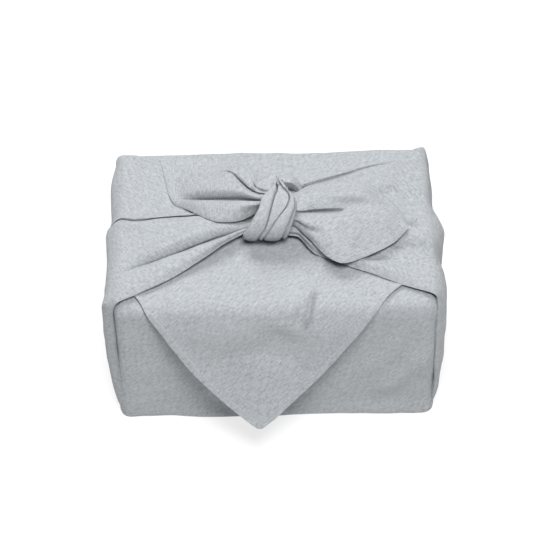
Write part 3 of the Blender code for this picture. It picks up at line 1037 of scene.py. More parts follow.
        cloth.add("sleeve", net, self.thickness, self.creases, flip=True)


# --- The bands ---


@dataclass(frozen=True)
class Tuck:
    """A deep narrow fold behind one pleat, which leans back under the next."""

    after: int
    side_depth: float
    depths: tuple[float, ...]
    lean: float = 0.9

    def at(self, lip: Point, behind: Point, depth: float, inward: Point) -> Point:
        """Return the fold's bottom between its two lips.

        Args:
            lip: The front pleat's lip.
            behind: The rear pleat's lip.
            depth: Of the fold.
            inward: The way into the cloth.

        Returns:
            The bottom.
        """
        x, y, z = ((a + b) / 2 + depth * way for a, b, way in zip(lip, behind, inward))
        return x, y + self.lean * depth, z


FOOT_ROW, SHOULDER_ROW = 2, 7        # a band's rows round the base's edge and round the lid's edge


@dataclass
class Band:
    """A side corner of the cloth, carried up the side wall and over the lid in pleats."""

    name: str
    side: Side
    # y at the top, lean at the foot, then x at the foot, low, mid and high
    side_folds: tuple[Station, ...]
    # x of each station over the lid, on the way to the knot
    stations: tuple[float, ...]
    # per fold and station: y and height over the lid
    top_folds: tuple[tuple[tuple[float, float], ...], ...]
    # from the rear of the band to its front
    tucks: tuple[Tuck, ...]
    creases: tuple[Crease, ...] = ()
    thickness: float = 1.1
    side_pitch: float = 4.2
    top_pitch: float = 2.2
    turn: float = 38.0
    # under the base: how far in from the edge, and share of the band's width there
    base_rows: tuple[tuple[float, float], ...] = ((10.0, 0.88), (0.6, 0.93))
    base_height: float = 0.1
    # round the base's edge: how far in, share of the band's width, and height
    foot: Point = (2.8, 0.98, 2.2)
    levels: tuple[float, ...] = (8.0, 30.0, 64.0, 97.0)
    # round the lid's edge: share of the wall's y, and height
    shoulder: tuple[float, float] = (0.6, 110.0)
    # how far the lid's edge draws in the two outer folds, and the others
    shoulder_in: tuple[float, float] = (0.2, 1.0)
    # inside the knot: how far past the last station, and share of the gather left round its axis
    neck_rows: tuple[tuple[float, float], ...] = ((5.0, 0.94), (9.0, 0.90))
    neck_height: float = 129.0
    # share of a tuck's depth on the side wall, from under the base up
    tuck_shares: tuple[float, ...] = (0.0, 0.0, 0.0, 0.1, 0.3, 0.7, 1.0)
    tuck_slant: float = 0.7
    lid_clearance: float = 1.6
    lip_width: float = 0.9
    lip_depth: float = 1.5
    lip_middle: float = 0.45
    lip_rise: float = 0.15
    base_lip_depth: float = 0.5
    return_width: float = 34.0
    return_height: float = 1.2

    def _folds(self) -> list[list[Point]]:
        """Return the rows from under the base, up the side wall and over the lid to the knot.

        Returns:
            The rows.
        """
        side = self.side.value
        rows: list[list[Point]] = [[] for _ in range(SHOULDER_ROW + 1)]
        last_fold = len(self.side_folds) - 1
        foot_in, foot_share, foot_height = self.foot
        wall_share, shoulder_height = self.shoulder
        for k, ((y, lean, foot, low, mid, high), top) in enumerate(zip(self.side_folds, self.top_folds)):
            for row, (inset, share) in zip(rows, self.base_rows):
                row.append((side * (ROUND_X - inset), y * share, self.base_height))
            rows[FOOT_ROW].append((foot - side * foot_in, (y + lean) * foot_share, foot_height))
            for row, x, z in zip(rows[FOOT_ROW + 1:SHOULDER_ROW], (foot, low, mid, high), self.levels):
                row.append((x, y + lean * (1.0 - z / self.levels[-1]), z))
            rows[SHOULDER_ROW].append((high - side * self.shoulder_in[k not in (0, last_fold)],
                                       wall_share * y + (1.0 - wall_share) * top[0][0], shoulder_height))
        for k, x in enumerate(self.stations):
            rows.append([(x, fold[k][0], CORE.lid + fold[k][1]) for fold in self.top_folds])
        last = rows[-1]
        for reach, share in self.neck_rows:
            rows.append([(x - side * reach, y * share, self.neck_height + (z - self.neck_height) * share)
                         for x, y, z in last])
        return rows

    def _with_tucks(self, rows: list[list[Point]]) -> list[list[Point]]:
        """Put the bottom of each tuck between its lips.

        Args:
            rows: The rows of folds.

        Returns:
            The rows, with a point more for each tuck.
        """
        side, last = self.side.value, len(self.stations) - 1
        result = []
        for k, row in enumerate(rows):
            row = list(row)
            for tuck in self.tucks:
                if k < SHOULDER_ROW:
                    depth, inward = tuck.side_depth * self.tuck_shares[k], (-side, 0.0, 0.0)
                elif k == SHOULDER_ROW:
                    depth = (tuck.side_depth + tuck.depths[0]) / 2
                    inward = (-self.tuck_slant * side, 0.0, -self.tuck_slant)
                else:
                    depth, inward = tuck.depths[min(k - SHOULDER_ROW - 1, last)], (0.0, 0.0, -1.0)
                x, y, z = tuck.at(row[tuck.after], row[tuck.after + 1], depth, inward)
                if k > SHOULDER_ROW:
                    z = max(z, CORE.lid + self.lid_clearance)
                row.insert(tuck.after + 1, (x, y, z))
            result.append(row)
        return result

    def _out(self, k: int) -> np.ndarray:
        """Return the way out of the cloth at a row, short under the base, where there is no room.

        Args:
            k: The row's number.

        Returns:
            The way, of length 1 but for the base.
        """
        side, slant = self.side.value, math.sqrt(2)
        if k > SHOULDER_ROW:
            return np.array((0.0, 0.0, 1.0))
        if k == SHOULDER_ROW:
            return np.array((side, 0.0, 1.0)) / slant
        if k > FOOT_ROW:
            return np.array((side, 0.0, 0.0))
        return np.array((side, 0.0, -1.0)) / slant if k == FOOT_ROW else np.array((0.0, 0.0, -0.2))

    def _with_lips(self, rows: list[list[Point]]) -> list[Row]:
        """Turn both long edges under as folded lips.

        Args:
            rows: The rows of folds and tucks.

        Returns:
            The rows, with three points more at either end.
        """
        ahead = np.array((0.0, 1.0, 0.0))
        result = []
        for k, row in enumerate(rows):
            out = self._out(k)
            lip = self.lip_depth if k > FOOT_ROW else self.base_lip_depth
            edges = []
            for edge, along in ((np.array(row[0]), ahead), (np.array(row[-1]), -ahead)):
                under = edge + along * self.return_width - out * lip
                if k > SHOULDER_ROW:
                    under[2] = CORE.lid + self.return_height
                edges.append([
                    under,
                    edge + along * self.lip_width - out * lip,
                    edge - out * lip * self.lip_middle,
                    edge + along * self.lip_width + out * self.lip_rise,
                ])
            result.append(tuple(map(tuple, (*edges[0], *row[1:-1], *edges[1][::-1]))))
        return result

    def build(self, cloth: ClothBuilder) -> None:
        """Add the band to the cloth.

        Args:
            cloth: Takes the laps.
        """
        rows = self._with_lips(self._with_tucks(self._folds()))
        on_top = len(rows) - SHOULDER_ROW - 1
        row_pitches = [HIDDEN] + [self.side_pitch] * (SHOULDER_ROW - 1) + [self.top_pitch] * on_top
        column_pitches = [HIDDEN] + [self.top_pitch] * (len(rows[0]) - 3) + [HIDDEN]
        net = Net.through(rows, (row_pitches, column_pitches), self.turn)
        cloth.add(self.name, net, self.thickness, self.creases, flip=self.side is Side.LEFT)


LEFT_BAND = Band(
    name="left band",
    side=Side.LEFT,
    side_folds=(
        (-76.6, -2.4, -110.8, -113.4, -114.6, -115.2),     # front edge
        (-70.5, -3.6, -115.0, -119.2, -122.2, -122.2),     # front roll
        (-57.0, 0.0, -116.6, -119.4, -121.8, -121.0),      # roll crest
        (-48.6, 0.0, -116.8, -119.6, -121.6, -120.8),      # roll's back lip
        (-46.6, 0.0, -116.6, -119.2, -121.0, -120.4),      # valley's rear lip
        (-37.0, 0.0, -116.4, -119.0, -120.8, -120.3),      # valley slope
        (-26.0, 0.0, -116.4, -119.0, -121.0, -120.4),      # long slope
        (-12.0, 0.0, -116.4, -119.0, -121.2, -120.8),      # main ridge
        (-1.0, -2.0, -116.4, -118.8, -121.2, -121.6),      # tuck crest
        (3.0, -3.0, -116.4, -118.6, -121.0, -121.5),       # tuck's lip
        (6.6, -3.0, -116.4, -118.2, -119.4, -119.2),       # tuck's rear lip
        (17.0, 0.0, -116.4, -118.2, -119.0, -118.0),       # rear slope
        (56.0, 10.0, -117.2, -118.6, -119.6, -119.2),      # rear swell
        (77.0, 2.8, -112.4, -114.0, -115.0, -115.2),       # rear edge
    ),
    stations=(-111.0, -100.0, -77.6, -52.6, -31.8, -19.0),
    top_folds=(
        ((-74.5, 2.2), (-68.4, 2.8), (-56.0, 3.8), (-38.4, 5.9), (-21.8, 8.1), (-13.8, 9.5)),
        ((-68.0, 3.6), (-61.4, 4.8), (-50.4, 7.0), (-35.4, 9.0), (-20.8, 10.0), (-13.6, 10.6)),
        ((-57.0, 3.3), (-51.0, 4.6), (-43.0, 7.9), (-31.0, 10.2), (-19.6, 10.8), (-13.4, 11.0)),
        ((-48.4, 2.9), (-44.0, 3.7), (-37.1, 7.2), (-27.2, 9.5), (-18.4, 10.0), (-12.9, 10.5)),
        ((-46.4, 2.6), (-41.4, 2.9), (-33.6, 5.3), (-22.8, 7.9), (-13.8, 8.8), (-10.0, 9.8)),
        ((-38.0, 3.2), (-36.0, 6.2), (-28.8, 11.6), (-18.6, 13.2), (-11.4, 12.0), (-8.6, 10.8)),
        ((-28.0, 3.4), (-26.0, 6.2), (-20.4, 11.8), (-13.0, 13.2), (-8.6, 12.4), (-7.0, 10.4)),
        ((-12.0, 3.8), (-12.0, 5.2), (-9.0, 9.4), (-6.4, 11.4), (-5.0, 11.4), (-4.2, 8.4)),
        ((-2.0, 5.0), (-3.2, 6.4), (-3.0, 8.4), (-2.4, 10.4), (-2.6, 10.0), (-2.4, 6.8)),
        ((2.8, 5.6), (1.5, 6.2), (1.8, 7.8), (1.6, 9.4), (0.4, 8.6), (0.2, 6.0)),
        ((6.8, 4.2), (5.5, 4.8), (5.8, 6.3), (5.6, 8.0), (4.0, 7.2), (3.2, 5.0)),
        ((14.0, 3.0), (12.0, 3.4), (11.2, 3.8), (10.8, 6.4), (10.0, 7.4), (7.0, 6.4)),
        ((50.0, 2.6), (42.0, 3.0), (38.0, 3.2), (34.0, 5.2), (23.0, 9.0), (12.4, 11.4)),
        ((76.4, 1.5), (76.4, 1.5), (66.0, 1.7), (56.0, 2.2), (38.0, 4.6), (19.0, 8.0)),
    ),
    tucks=(
        Tuck(9, 2.2, (4.0, 4.4, 4.8, 5.2, 4.0, 2.0)),
        Tuck(3, 0.5, (0.3, 1.2, 4.6, 7.0, 7.0, 5.0)),
    ),
    creases=(
        # the small second pinch in front of the tuck
        Crease(((-112, -7, 119), (-103, -7, 119.5), (-92, -6, 120)), -1.5, 2.4, fades=(0.2, 0.4)),
        Crease(((-108, -2, 119), (-101, -2, 119.5), (-92, -2, 120)), 0.6, 2.0),
        # soft folds that die away towards the side
        Crease(((-60, -14, 126), (-86, -20, 123), (-112, -30, 118)), -2.0, 3.6, fades=(0.2, 0.3)),
        # gathers that fan out from the knot
        Crease(((-24, -7, 127), (-50, -9, 126), (-74, -11, 124)), -1.2, 2.2, fades=(0.0, 0.6)),
        # behind the tuck
        Crease(((-78, 22, 119), (-90, 28, 118), (-102, 38, 118)), -1.0, 4.0),
        Crease(((-114, 22, 117), (-104, 24, 118), (-92, 26, 118)), 0.7, 4.0),
    ),
)

RIGHT_BAND = Band(
    name="right band",
    side=Side.RIGHT,
    side_folds=(
        (-77.0, -1.6, 114.4, 116.0, 115.4, 115.4),     # front edge
        (-68.0, -0.6, 117.6, 120.2, 120.9, 120.8),     # front roll
        (-44.0, 0.0, 117.6, 119.6, 121.2, 122.4),      # front slope
        (-25.0, 0.0, 117.4, 119.0, 120.2, 119.4),      # soft valley
        (0.0, 0.0, 117.4, 119.4, 122.0, 123.6),        # main ridge
        (22.0, 0.0, 117.2, 118.6, 119.2, 118.6),       # mid slope
        (42.0, 0.0, 117.2, 118.2, 118.6, 118.4),       # second ridge
        (58.0, 0.0, 117.2, 117.8, 117.8, 117.6),       # pocket
        (70.0, 6.0, 116.4, 117.6, 117.8, 117.4),       # rim
        (78.4, 2.8, 112.4, 114.2, 115.2, 115.6),       # rear edge
    ),
    stations=(113.0, 91.5, 70.5, 49.0, 30.0, 17.5),
    top_folds=(
        ((-73.0, 1.6), (-62.8, 1.9), (-51.8, 2.4), (-42.0, 3.2), (-33.0, 5.0), (-17.4, 7.0)),
        ((-66.0, 3.6), (-56.0, 5.0), (-45.4, 6.0), (-38.4, 7.4), (-31.0, 8.8), (-17.6, 10.8)),
        ((-48.0, 3.8), (-42.0, 3.4), (-36.4, 3.8), (-31.0, 5.8), (-25.4, 8.4), (-14.4, 12.4)),
        ((-33.0, 3.2), (-30.0, 3.9), (-28.0, 5.2), (-25.0, 8.2), (-21.4, 11.4), (-11.0, 15.0)),
        ((-8.0, 6.4), (-12.0, 6.4), (-12.0, 8.4), (-12.0, 11.0), (-11.6, 14.6), (-6.2, 17.6)),
        ((16.0, 2.7), (8.0, 5.8), (12.0, 8.2), (6.0, 10.8), (0.6, 14.6), (1.6, 18.0)),
        ((52.0, 3.4), (55.4, 4.8), (50.2, 6.2), (37.5, 8.0), (26.6, 12.0), (16.0, 14.6)),
        ((60.6, 1.9), (59.4, 2.2), (53.0, 3.6), (42.0, 5.8), (31.0, 9.8), (23.4, 12.6)),
        ((69.0, 2.2), (62.4, 3.1), (55.0, 4.9), (44.4, 7.4), (33.6, 11.2), (26.6, 13.4)),
        ((77.0, 2.3), (66.4, 2.6), (57.0, 4.0), (46.2, 6.2), (35.2, 9.6), (28.6, 10.0)),
    ),
    tucks=(
        Tuck(7, 0.0, (0.0, 0.2, 0.7, 2.2, 3.6, 4.0)),
    ),
    creases=(
        # ridge in front of the pocket
        Crease(((60, 48, 120), (77.7, 53, 119), (89, 54, 119), (104, 51, 118)), 0.9, 3.0),
        Crease(((58, 42, 121), (74, 45, 120), (90, 45, 119)), -0.9, 2.8),
        # soft valleys and ridges across the lid and over the shoulder
        Crease(((70, 30, 124), (92, 24, 121), (116, 19, 118)), -3.9, 3.0, fades=(0.2, 0.3)),
        Crease(((72, 37, 123), (94, 31, 121), (116, 27, 118)), 2.4, 3.0, fades=(0.2, 0.3)),
        Crease(((84, -5, 121), (102, -10, 120), (121, -14, 117)), -3.9, 2.8, fades=(0.2, 0.3)),
        Crease(((84, 4, 121), (103, -3, 121), (121, -6, 118)), 2.8, 2.8, fades=(0.2, 0.3)),
        Crease(((80, -21, 121), (100, -29, 120), (119, -42, 117)), -3.2, 2.8, fades=(0.2, 0.3)),
        Crease(((94, -17, 121), (107, -21, 121), (121, -29, 118)), 2.6, 2.8, fades=(0.5, 0.3)),
        Crease(((70, -33, 121), (90, -39, 120), (108, -46, 119)), -1.4, 2.6, fades=(0.2, 0.4)),
        Crease(((66, -45, 121), (88, -52, 120), (108, -60, 119)), 1.6, 3.2),
        Crease(((102, -24, 120), (114, -35, 119), (121, -50, 106)), -1.8, 2.6),
        Crease(((98, 2, 120), (112, 5, 121), (122, 8, 108)), -1.6, 3.0),
    ),
    turn=-38.0,
)


# --- The tails ---


@dataclass
class Tail:
    """A corner of the cloth past the knot.  Rows run outwards, each from the upper to the lower edge."""

    name: str
    rows: tuple[Row, ...]
    # from the lower edge to the upper
    tucks: tuple[Tuck, ...]
    creases: tuple[Crease, ...]
    lower_hem: bool
    flip: bool
    turn: float
    thickness: float = 0.9
    pitch: float = 1.95
    neck_spans: int = 3          # inside the knot, with no hem
    uneven: float = 0.7

    def build(self, cloth: ClothBuilder) -> None:
        """Add the tail to the cloth.

        Args:
            cloth: Takes the laps.
        """
        rows = []
        for k, points in enumerate(self.rows):
            row = list(points)
            for tuck in self.tucks:
                bottom = tuck.at(row[tuck.after], row[tuck.after + 1], tuck.depths[k], (0.0, 0.0, -1.0))
                row.insert(tuck.after + 1, bottom)
            rows.append(tuple(row))
        row_pitches = [self.pitch] * (len(rows) - 1)
        net = Net.through(rows, (row_pitches, [self.pitch] * (len(rows[0]) - 1)), self.turn)
        past_neck = slice(sum(spans(np.array(rows), row_pitches)[:self.neck_spans]), None)
        net.sew_hem(net.points[past_neck, 0], past_neck)
        net.sew_hem(net.points[-1])
        if self.lower_hem:
            net.sew_hem(net.points[past_neck, -1], past_neck)
        cloth.add(self.name, net, self.thickness, self.creases, self.flip, self.uneven)


LEFT_TAIL = Tail(
    name="left tail",
    # upper hem, second gather's rear and front lips, swell, first gather's lips, crest, shoulder, fold's
    # rear and front lips, lobe crest, lobe slope, lower edge, return
    rows=(
        ((0.6, 17.8, 135.0), (-0.9, 13.3, 137.5), (-1.3, 12.8, 137.0), (-1.7, 11.2, 137.5),
         (-2.0, 10.5, 137.2), (-2.2, 9.7, 137.0), (-2.5, 7.5, 137.8), (-2.5, 6.3, 137.4),
         (-2.5, 5.6, 136.0), (-2.6, 3.4, 136.2), (-3.3, 2.0, 135.6), (-4.8, 3.6, 131.0),
         (-6.3, 2.5, 127.0), (-5.9, 4.4, 126.2)),
        ((-5.9, 18.6, 137.0), (-8.1, 13.3, 140.2), (-9.1, 12.3, 139.2), (-9.9, 10.8, 140.0),
         (-10.6, 10.2, 139.6), (-11.2, 9.6, 138.6), (-10.9, 6.3, 140.2), (-10.4, 4.7, 140.0),
         (-9.9, 4.4, 138.2), (-9.6, 2.2, 138.0), (-10.2, 0.2, 137.2), (-11.3, 1.3, 132.0),
         (-12.8, 0.3, 127.4), (-12.4, 2.7, 126.6)),
        ((-8.7, 25.2, 136.6), (-11.8, 16.4, 139.8), (-12.5, 15.8, 138.6), (-13.7, 13.8, 139.6),
         (-14.8, 14.5, 139.6), (-15.9, 13.9, 138.2), (-16.1, 8.5, 140.6), (-16.1, 6.3, 140.2),
         (-16.2, 6.5, 137.2), (-16.2, 2.6, 137.8), (-16.3, -0.7, 137.6), (-16.9, -1.2, 132.6),
         (-18.2, -3.4, 127.8), (-17.7, -0.8, 127.0)),
        ((-11.4, 33.6, 135.6), (-14.2, 22.7, 139.2), (-15.1, 21.9, 138.2), (-16.8, 18.8, 139.4),
         (-18.7, 19.1, 139.6), (-19.9, 18.7, 138.0), (-21.0, 13.8, 140.6), (-22.1, 9.8, 140.2),
         (-22.6, 9.1, 135.6), (-22.7, 3.6, 137.4), (-23.0, -0.7, 137.4), (-23.8, -4.3, 134.0),
         (-25.5, -8.0, 129.2), (-24.9, -5.0, 128.4)),
        ((-21.5, 52.3, 131.0), (-23.7, 42.8, 134.6), (-24.9, 41.1, 134.4), (-28.1, 36.4, 136.4),
         (-32.3, 37.0, 137.0), (-33.3, 36.2, 136.4), (-34.7, 24.8, 138.4), (-35.6, 15.5, 138.0),
         (-36.1, 13.2, 132.2), (-36.2, 7.2, 134.6), (-36.5, 2.2, 134.6), (-37.6, -3.5, 132.2),
         (-39.3, -7.8, 128.8), (-38.6, -4.3, 128.0)),
        ((-36.2, 59.1, 125.4), (-38.1, 50.9, 128.4), (-39.2, 48.4, 128.8), (-41.5, 43.9, 130.2),
         (-44.2, 39.6, 131.4), (-45.4, 37.3, 131.6), (-48.2, 28.9, 132.8), (-50.2, 20.4, 132.4),
         (-51.2, 18.3, 127.2), (-51.3, 12.7, 129.6), (-51.6, 8.9, 129.8), (-52.2, 5.2, 127.8),
         (-53.2, 2.6, 125.6), (-52.6, 5.8, 124.8)),
        ((-55.6, 65.1, 120.2), (-56.5, 57.0, 122.6), (-56.9, 54.3, 123.2), (-58.1, 48.5, 124.2),
         (-59.3, 42.3, 125.2), (-59.8, 39.9, 125.5), (-60.9, 32.9, 126.2), (-61.9, 25.4, 126.0),
         (-62.4, 22.6, 122.9), (-62.5, 18.6, 124.4), (-62.7, 16.3, 124.2), (-62.7, 14.1, 123.2),
         (-62.4, 12.0, 121.8), (-62.0, 14.3, 121.1)),
        ((-70.5, 68.0, 118.0), (-69.8, 60.4, 119.4), (-69.6, 57.7, 119.8), (-69.3, 51.6, 120.5),
         (-68.9, 45.8, 121.0), (-68.7, 43.5, 121.2), (-68.5, 36.8, 121.6), (-68.5, 29.4, 121.7),
         (-68.3, 24.5, 121.0), (-68.2, 22.5, 121.1), (-67.9, 20.6, 121.0), (-67.3, 18.4, 120.7),
         (-66.6, 16.3, 120.1), (-66.3, 18.1, 119.5)),
        ((-82.4, 69.5, 117.0), (-81.0, 61.8, 117.7), (-80.5, 59.4, 118.0), (-79.4, 53.0, 118.5),
         (-78.6, 47.3, 118.8), (-78.1, 45.1, 118.9), (-76.8, 38.2, 119.1), (-75.5, 31.0, 119.3),
         (-74.4, 26.7, 119.4), (-73.9, 25.0, 119.5), (-73.1, 23.0, 119.5), (-71.7, 21.1, 119.4),
         (-69.9, 18.9, 119.2), (-69.5, 20.3, 118.6)),
    ),
    tucks=(
        Tuck(8, 0.0, (3.0, 4.6, 5.4, 5.8, 5.8, 4.6, 1.8, 0.3, 0.0)),
        Tuck(4, 0.0, (2.0, 2.8, 3.6, 3.6, 0.0, 0.0, 0.0, 0.0, 0.0)),
        Tuck(1, 0.0, (1.5, 2.6, 2.4, 0.3, 0.0, 0.0, 0.0, 0.0, 0.0)),
    ),
    creases=(),
    lower_hem=False,
    flip=True,
    turn=2.0,
)

RIGHT_TAIL = Tail(
    name="right tail",
    # upper hem, upper slope, crest, valley, fold's rear and front lips, front crest, lower crest, lower
    # slope, lower hem
    rows=(
        ((12.8, 14.3, 133.0), (12.3, 7.7, 136.5), (11.8, 3.1, 137.5), (11.4, -0.7, 136.8),
         (11.1, -4.8, 135.8), (11.1, -7.6, 135.2), (10.8, -10.8, 135.8), (10.6, -13.1, 135.0),
         (10.3, -13.1, 132.0), (10.2, -12.7, 129.0)),
        ((20.4, 16.8, 134.4), (20.9, 9.5, 138.0), (21.1, 3.5, 139.4), (20.2, -2.2, 138.0),
         (19.4, -6.0, 136.2), (19.0, -9.1, 136.0), (18.2, -13.9, 137.6), (17.0, -16.7, 137.0),
         (15.8, -16.3, 133.4), (15.3, -14.5, 129.2)),
        ((26.7, 21.1, 134.2), (26.8, 11.5, 138.4), (26.9, 3.9, 139.8), (26.0, -1.4, 138.0),
         (25.2, -5.0, 135.4), (25.0, -9.3, 136.6), (24.1, -15.3, 138.4), (23.0, -19.8, 137.8),
         (21.5, -22.2, 133.8), (20.7, -20.9, 128.8)),
        ((38.3, 22.2, 134.2), (37.8, 10.7, 139.4), (37.3, 3.8, 140.2), (36.4, -0.3, 138.2),
         (35.7, -4.1, 135.2), (35.5, -9.4, 137.0), (34.5, -17.0, 139.2), (32.8, -23.9, 138.2),
         (30.6, -29.9, 133.6), (29.1, -30.5, 127.4)),
        ((49.9, 22.5, 134.8), (49.4, 10.0, 140.0), (49.1, 3.8, 140.2), (48.2, 1.0, 136.8),
         (46.8, -2.9, 134.4), (46.5, -9.5, 137.4), (45.5, -18.9, 139.8), (43.6, -28.5, 137.4),
         (40.9, -38.0, 131.6), (38.6, -42.3, 125.4)),
        ((58.3, 21.8, 134.6), (58.3, 10.1, 139.4), (58.1, 4.6, 139.2), (56.6, 2.5, 135.2),
         (54.4, -2.1, 133.8), (53.6, -8.7, 136.8), (53.0, -17.8, 138.8), (51.8, -27.9, 136.0),
         (49.6, -39.8, 130.6), (47.6, -47.9, 124.6)),
        ((66.1, 20.9, 133.2), (67.1, 10.2, 137.4), (67.1, 4.7, 137.8), (64.5, 2.3, 134.6),
         (61.6, -2.5, 134.2), (61.0, -7.7, 136.0), (60.9, -15.6, 137.0), (60.8, -24.9, 134.2),
         (60.1, -35.4, 128.8), (59.4, -43.7, 123.4)),
        ((76.9, 16.8, 129.6), (77.5, 8.0, 132.2), (77.5, 2.1, 133.0), (77.2, -2.0, 133.0),
         (77.1, -5.0, 132.9), (77.0, -7.5, 132.9), (76.9, -11.6, 132.5), (76.7, -19.0, 130.8),
         (76.2, -27.6, 127.4), (75.7, -34.9, 123.4)),
        ((86.0, 9.1, 126.2), (87.1, 2.9, 127.8), (87.5, -1.3, 128.4), (87.7, -4.4, 128.5),
         (87.7, -6.5, 128.5), (87.7, -8.4, 128.4), (87.6, -11.2, 128.2), (87.1, -16.8, 127.2),
         (86.2, -22.0, 125.4), (85.0, -28.0, 123.0)),
        ((93.5, -2.3, 123.0), (94.8, -6.7, 123.5), (95.3, -9.3, 123.7), (95.8, -11.1, 123.8),
         (96.1, -12.3, 123.8), (96.3, -13.3, 123.8), (96.1, -14.6, 123.7), (94.8, -16.6, 123.5),
         (93.2, -18.8, 123.4), (91.2, -22.0, 123.2)),
    ),
    tucks=(
        Tuck(4, 0.0, (1.5, 3.0, 4.5, 6.0, 5.0, 1.4, 0.4, 0.0, 0.0, 0.0)),
    ),
    creases=(
        # soft gather above the neck, and the valley below it
        Crease(((19, -3, 138), (24, 5, 138.5), (32, 14, 138.5)), -1.6, 2.2, fades=(0.0, 0.6)),
        Crease(((22, -6, 137), (30, 1, 139), (42, 8, 139.5)), 0.8, 3.0, fades=(0.0, 0.6)),
        Crease(((15, -18, 134), (21, -22, 134), (31, -25.5, 134), (39, -33, 133)), -2.6, 2.4,
               fades=(0.0, 0.5)),
    ),
    lower_hem=True,
    flip=False,
    turn=45.0,
)


# --- The knot ---


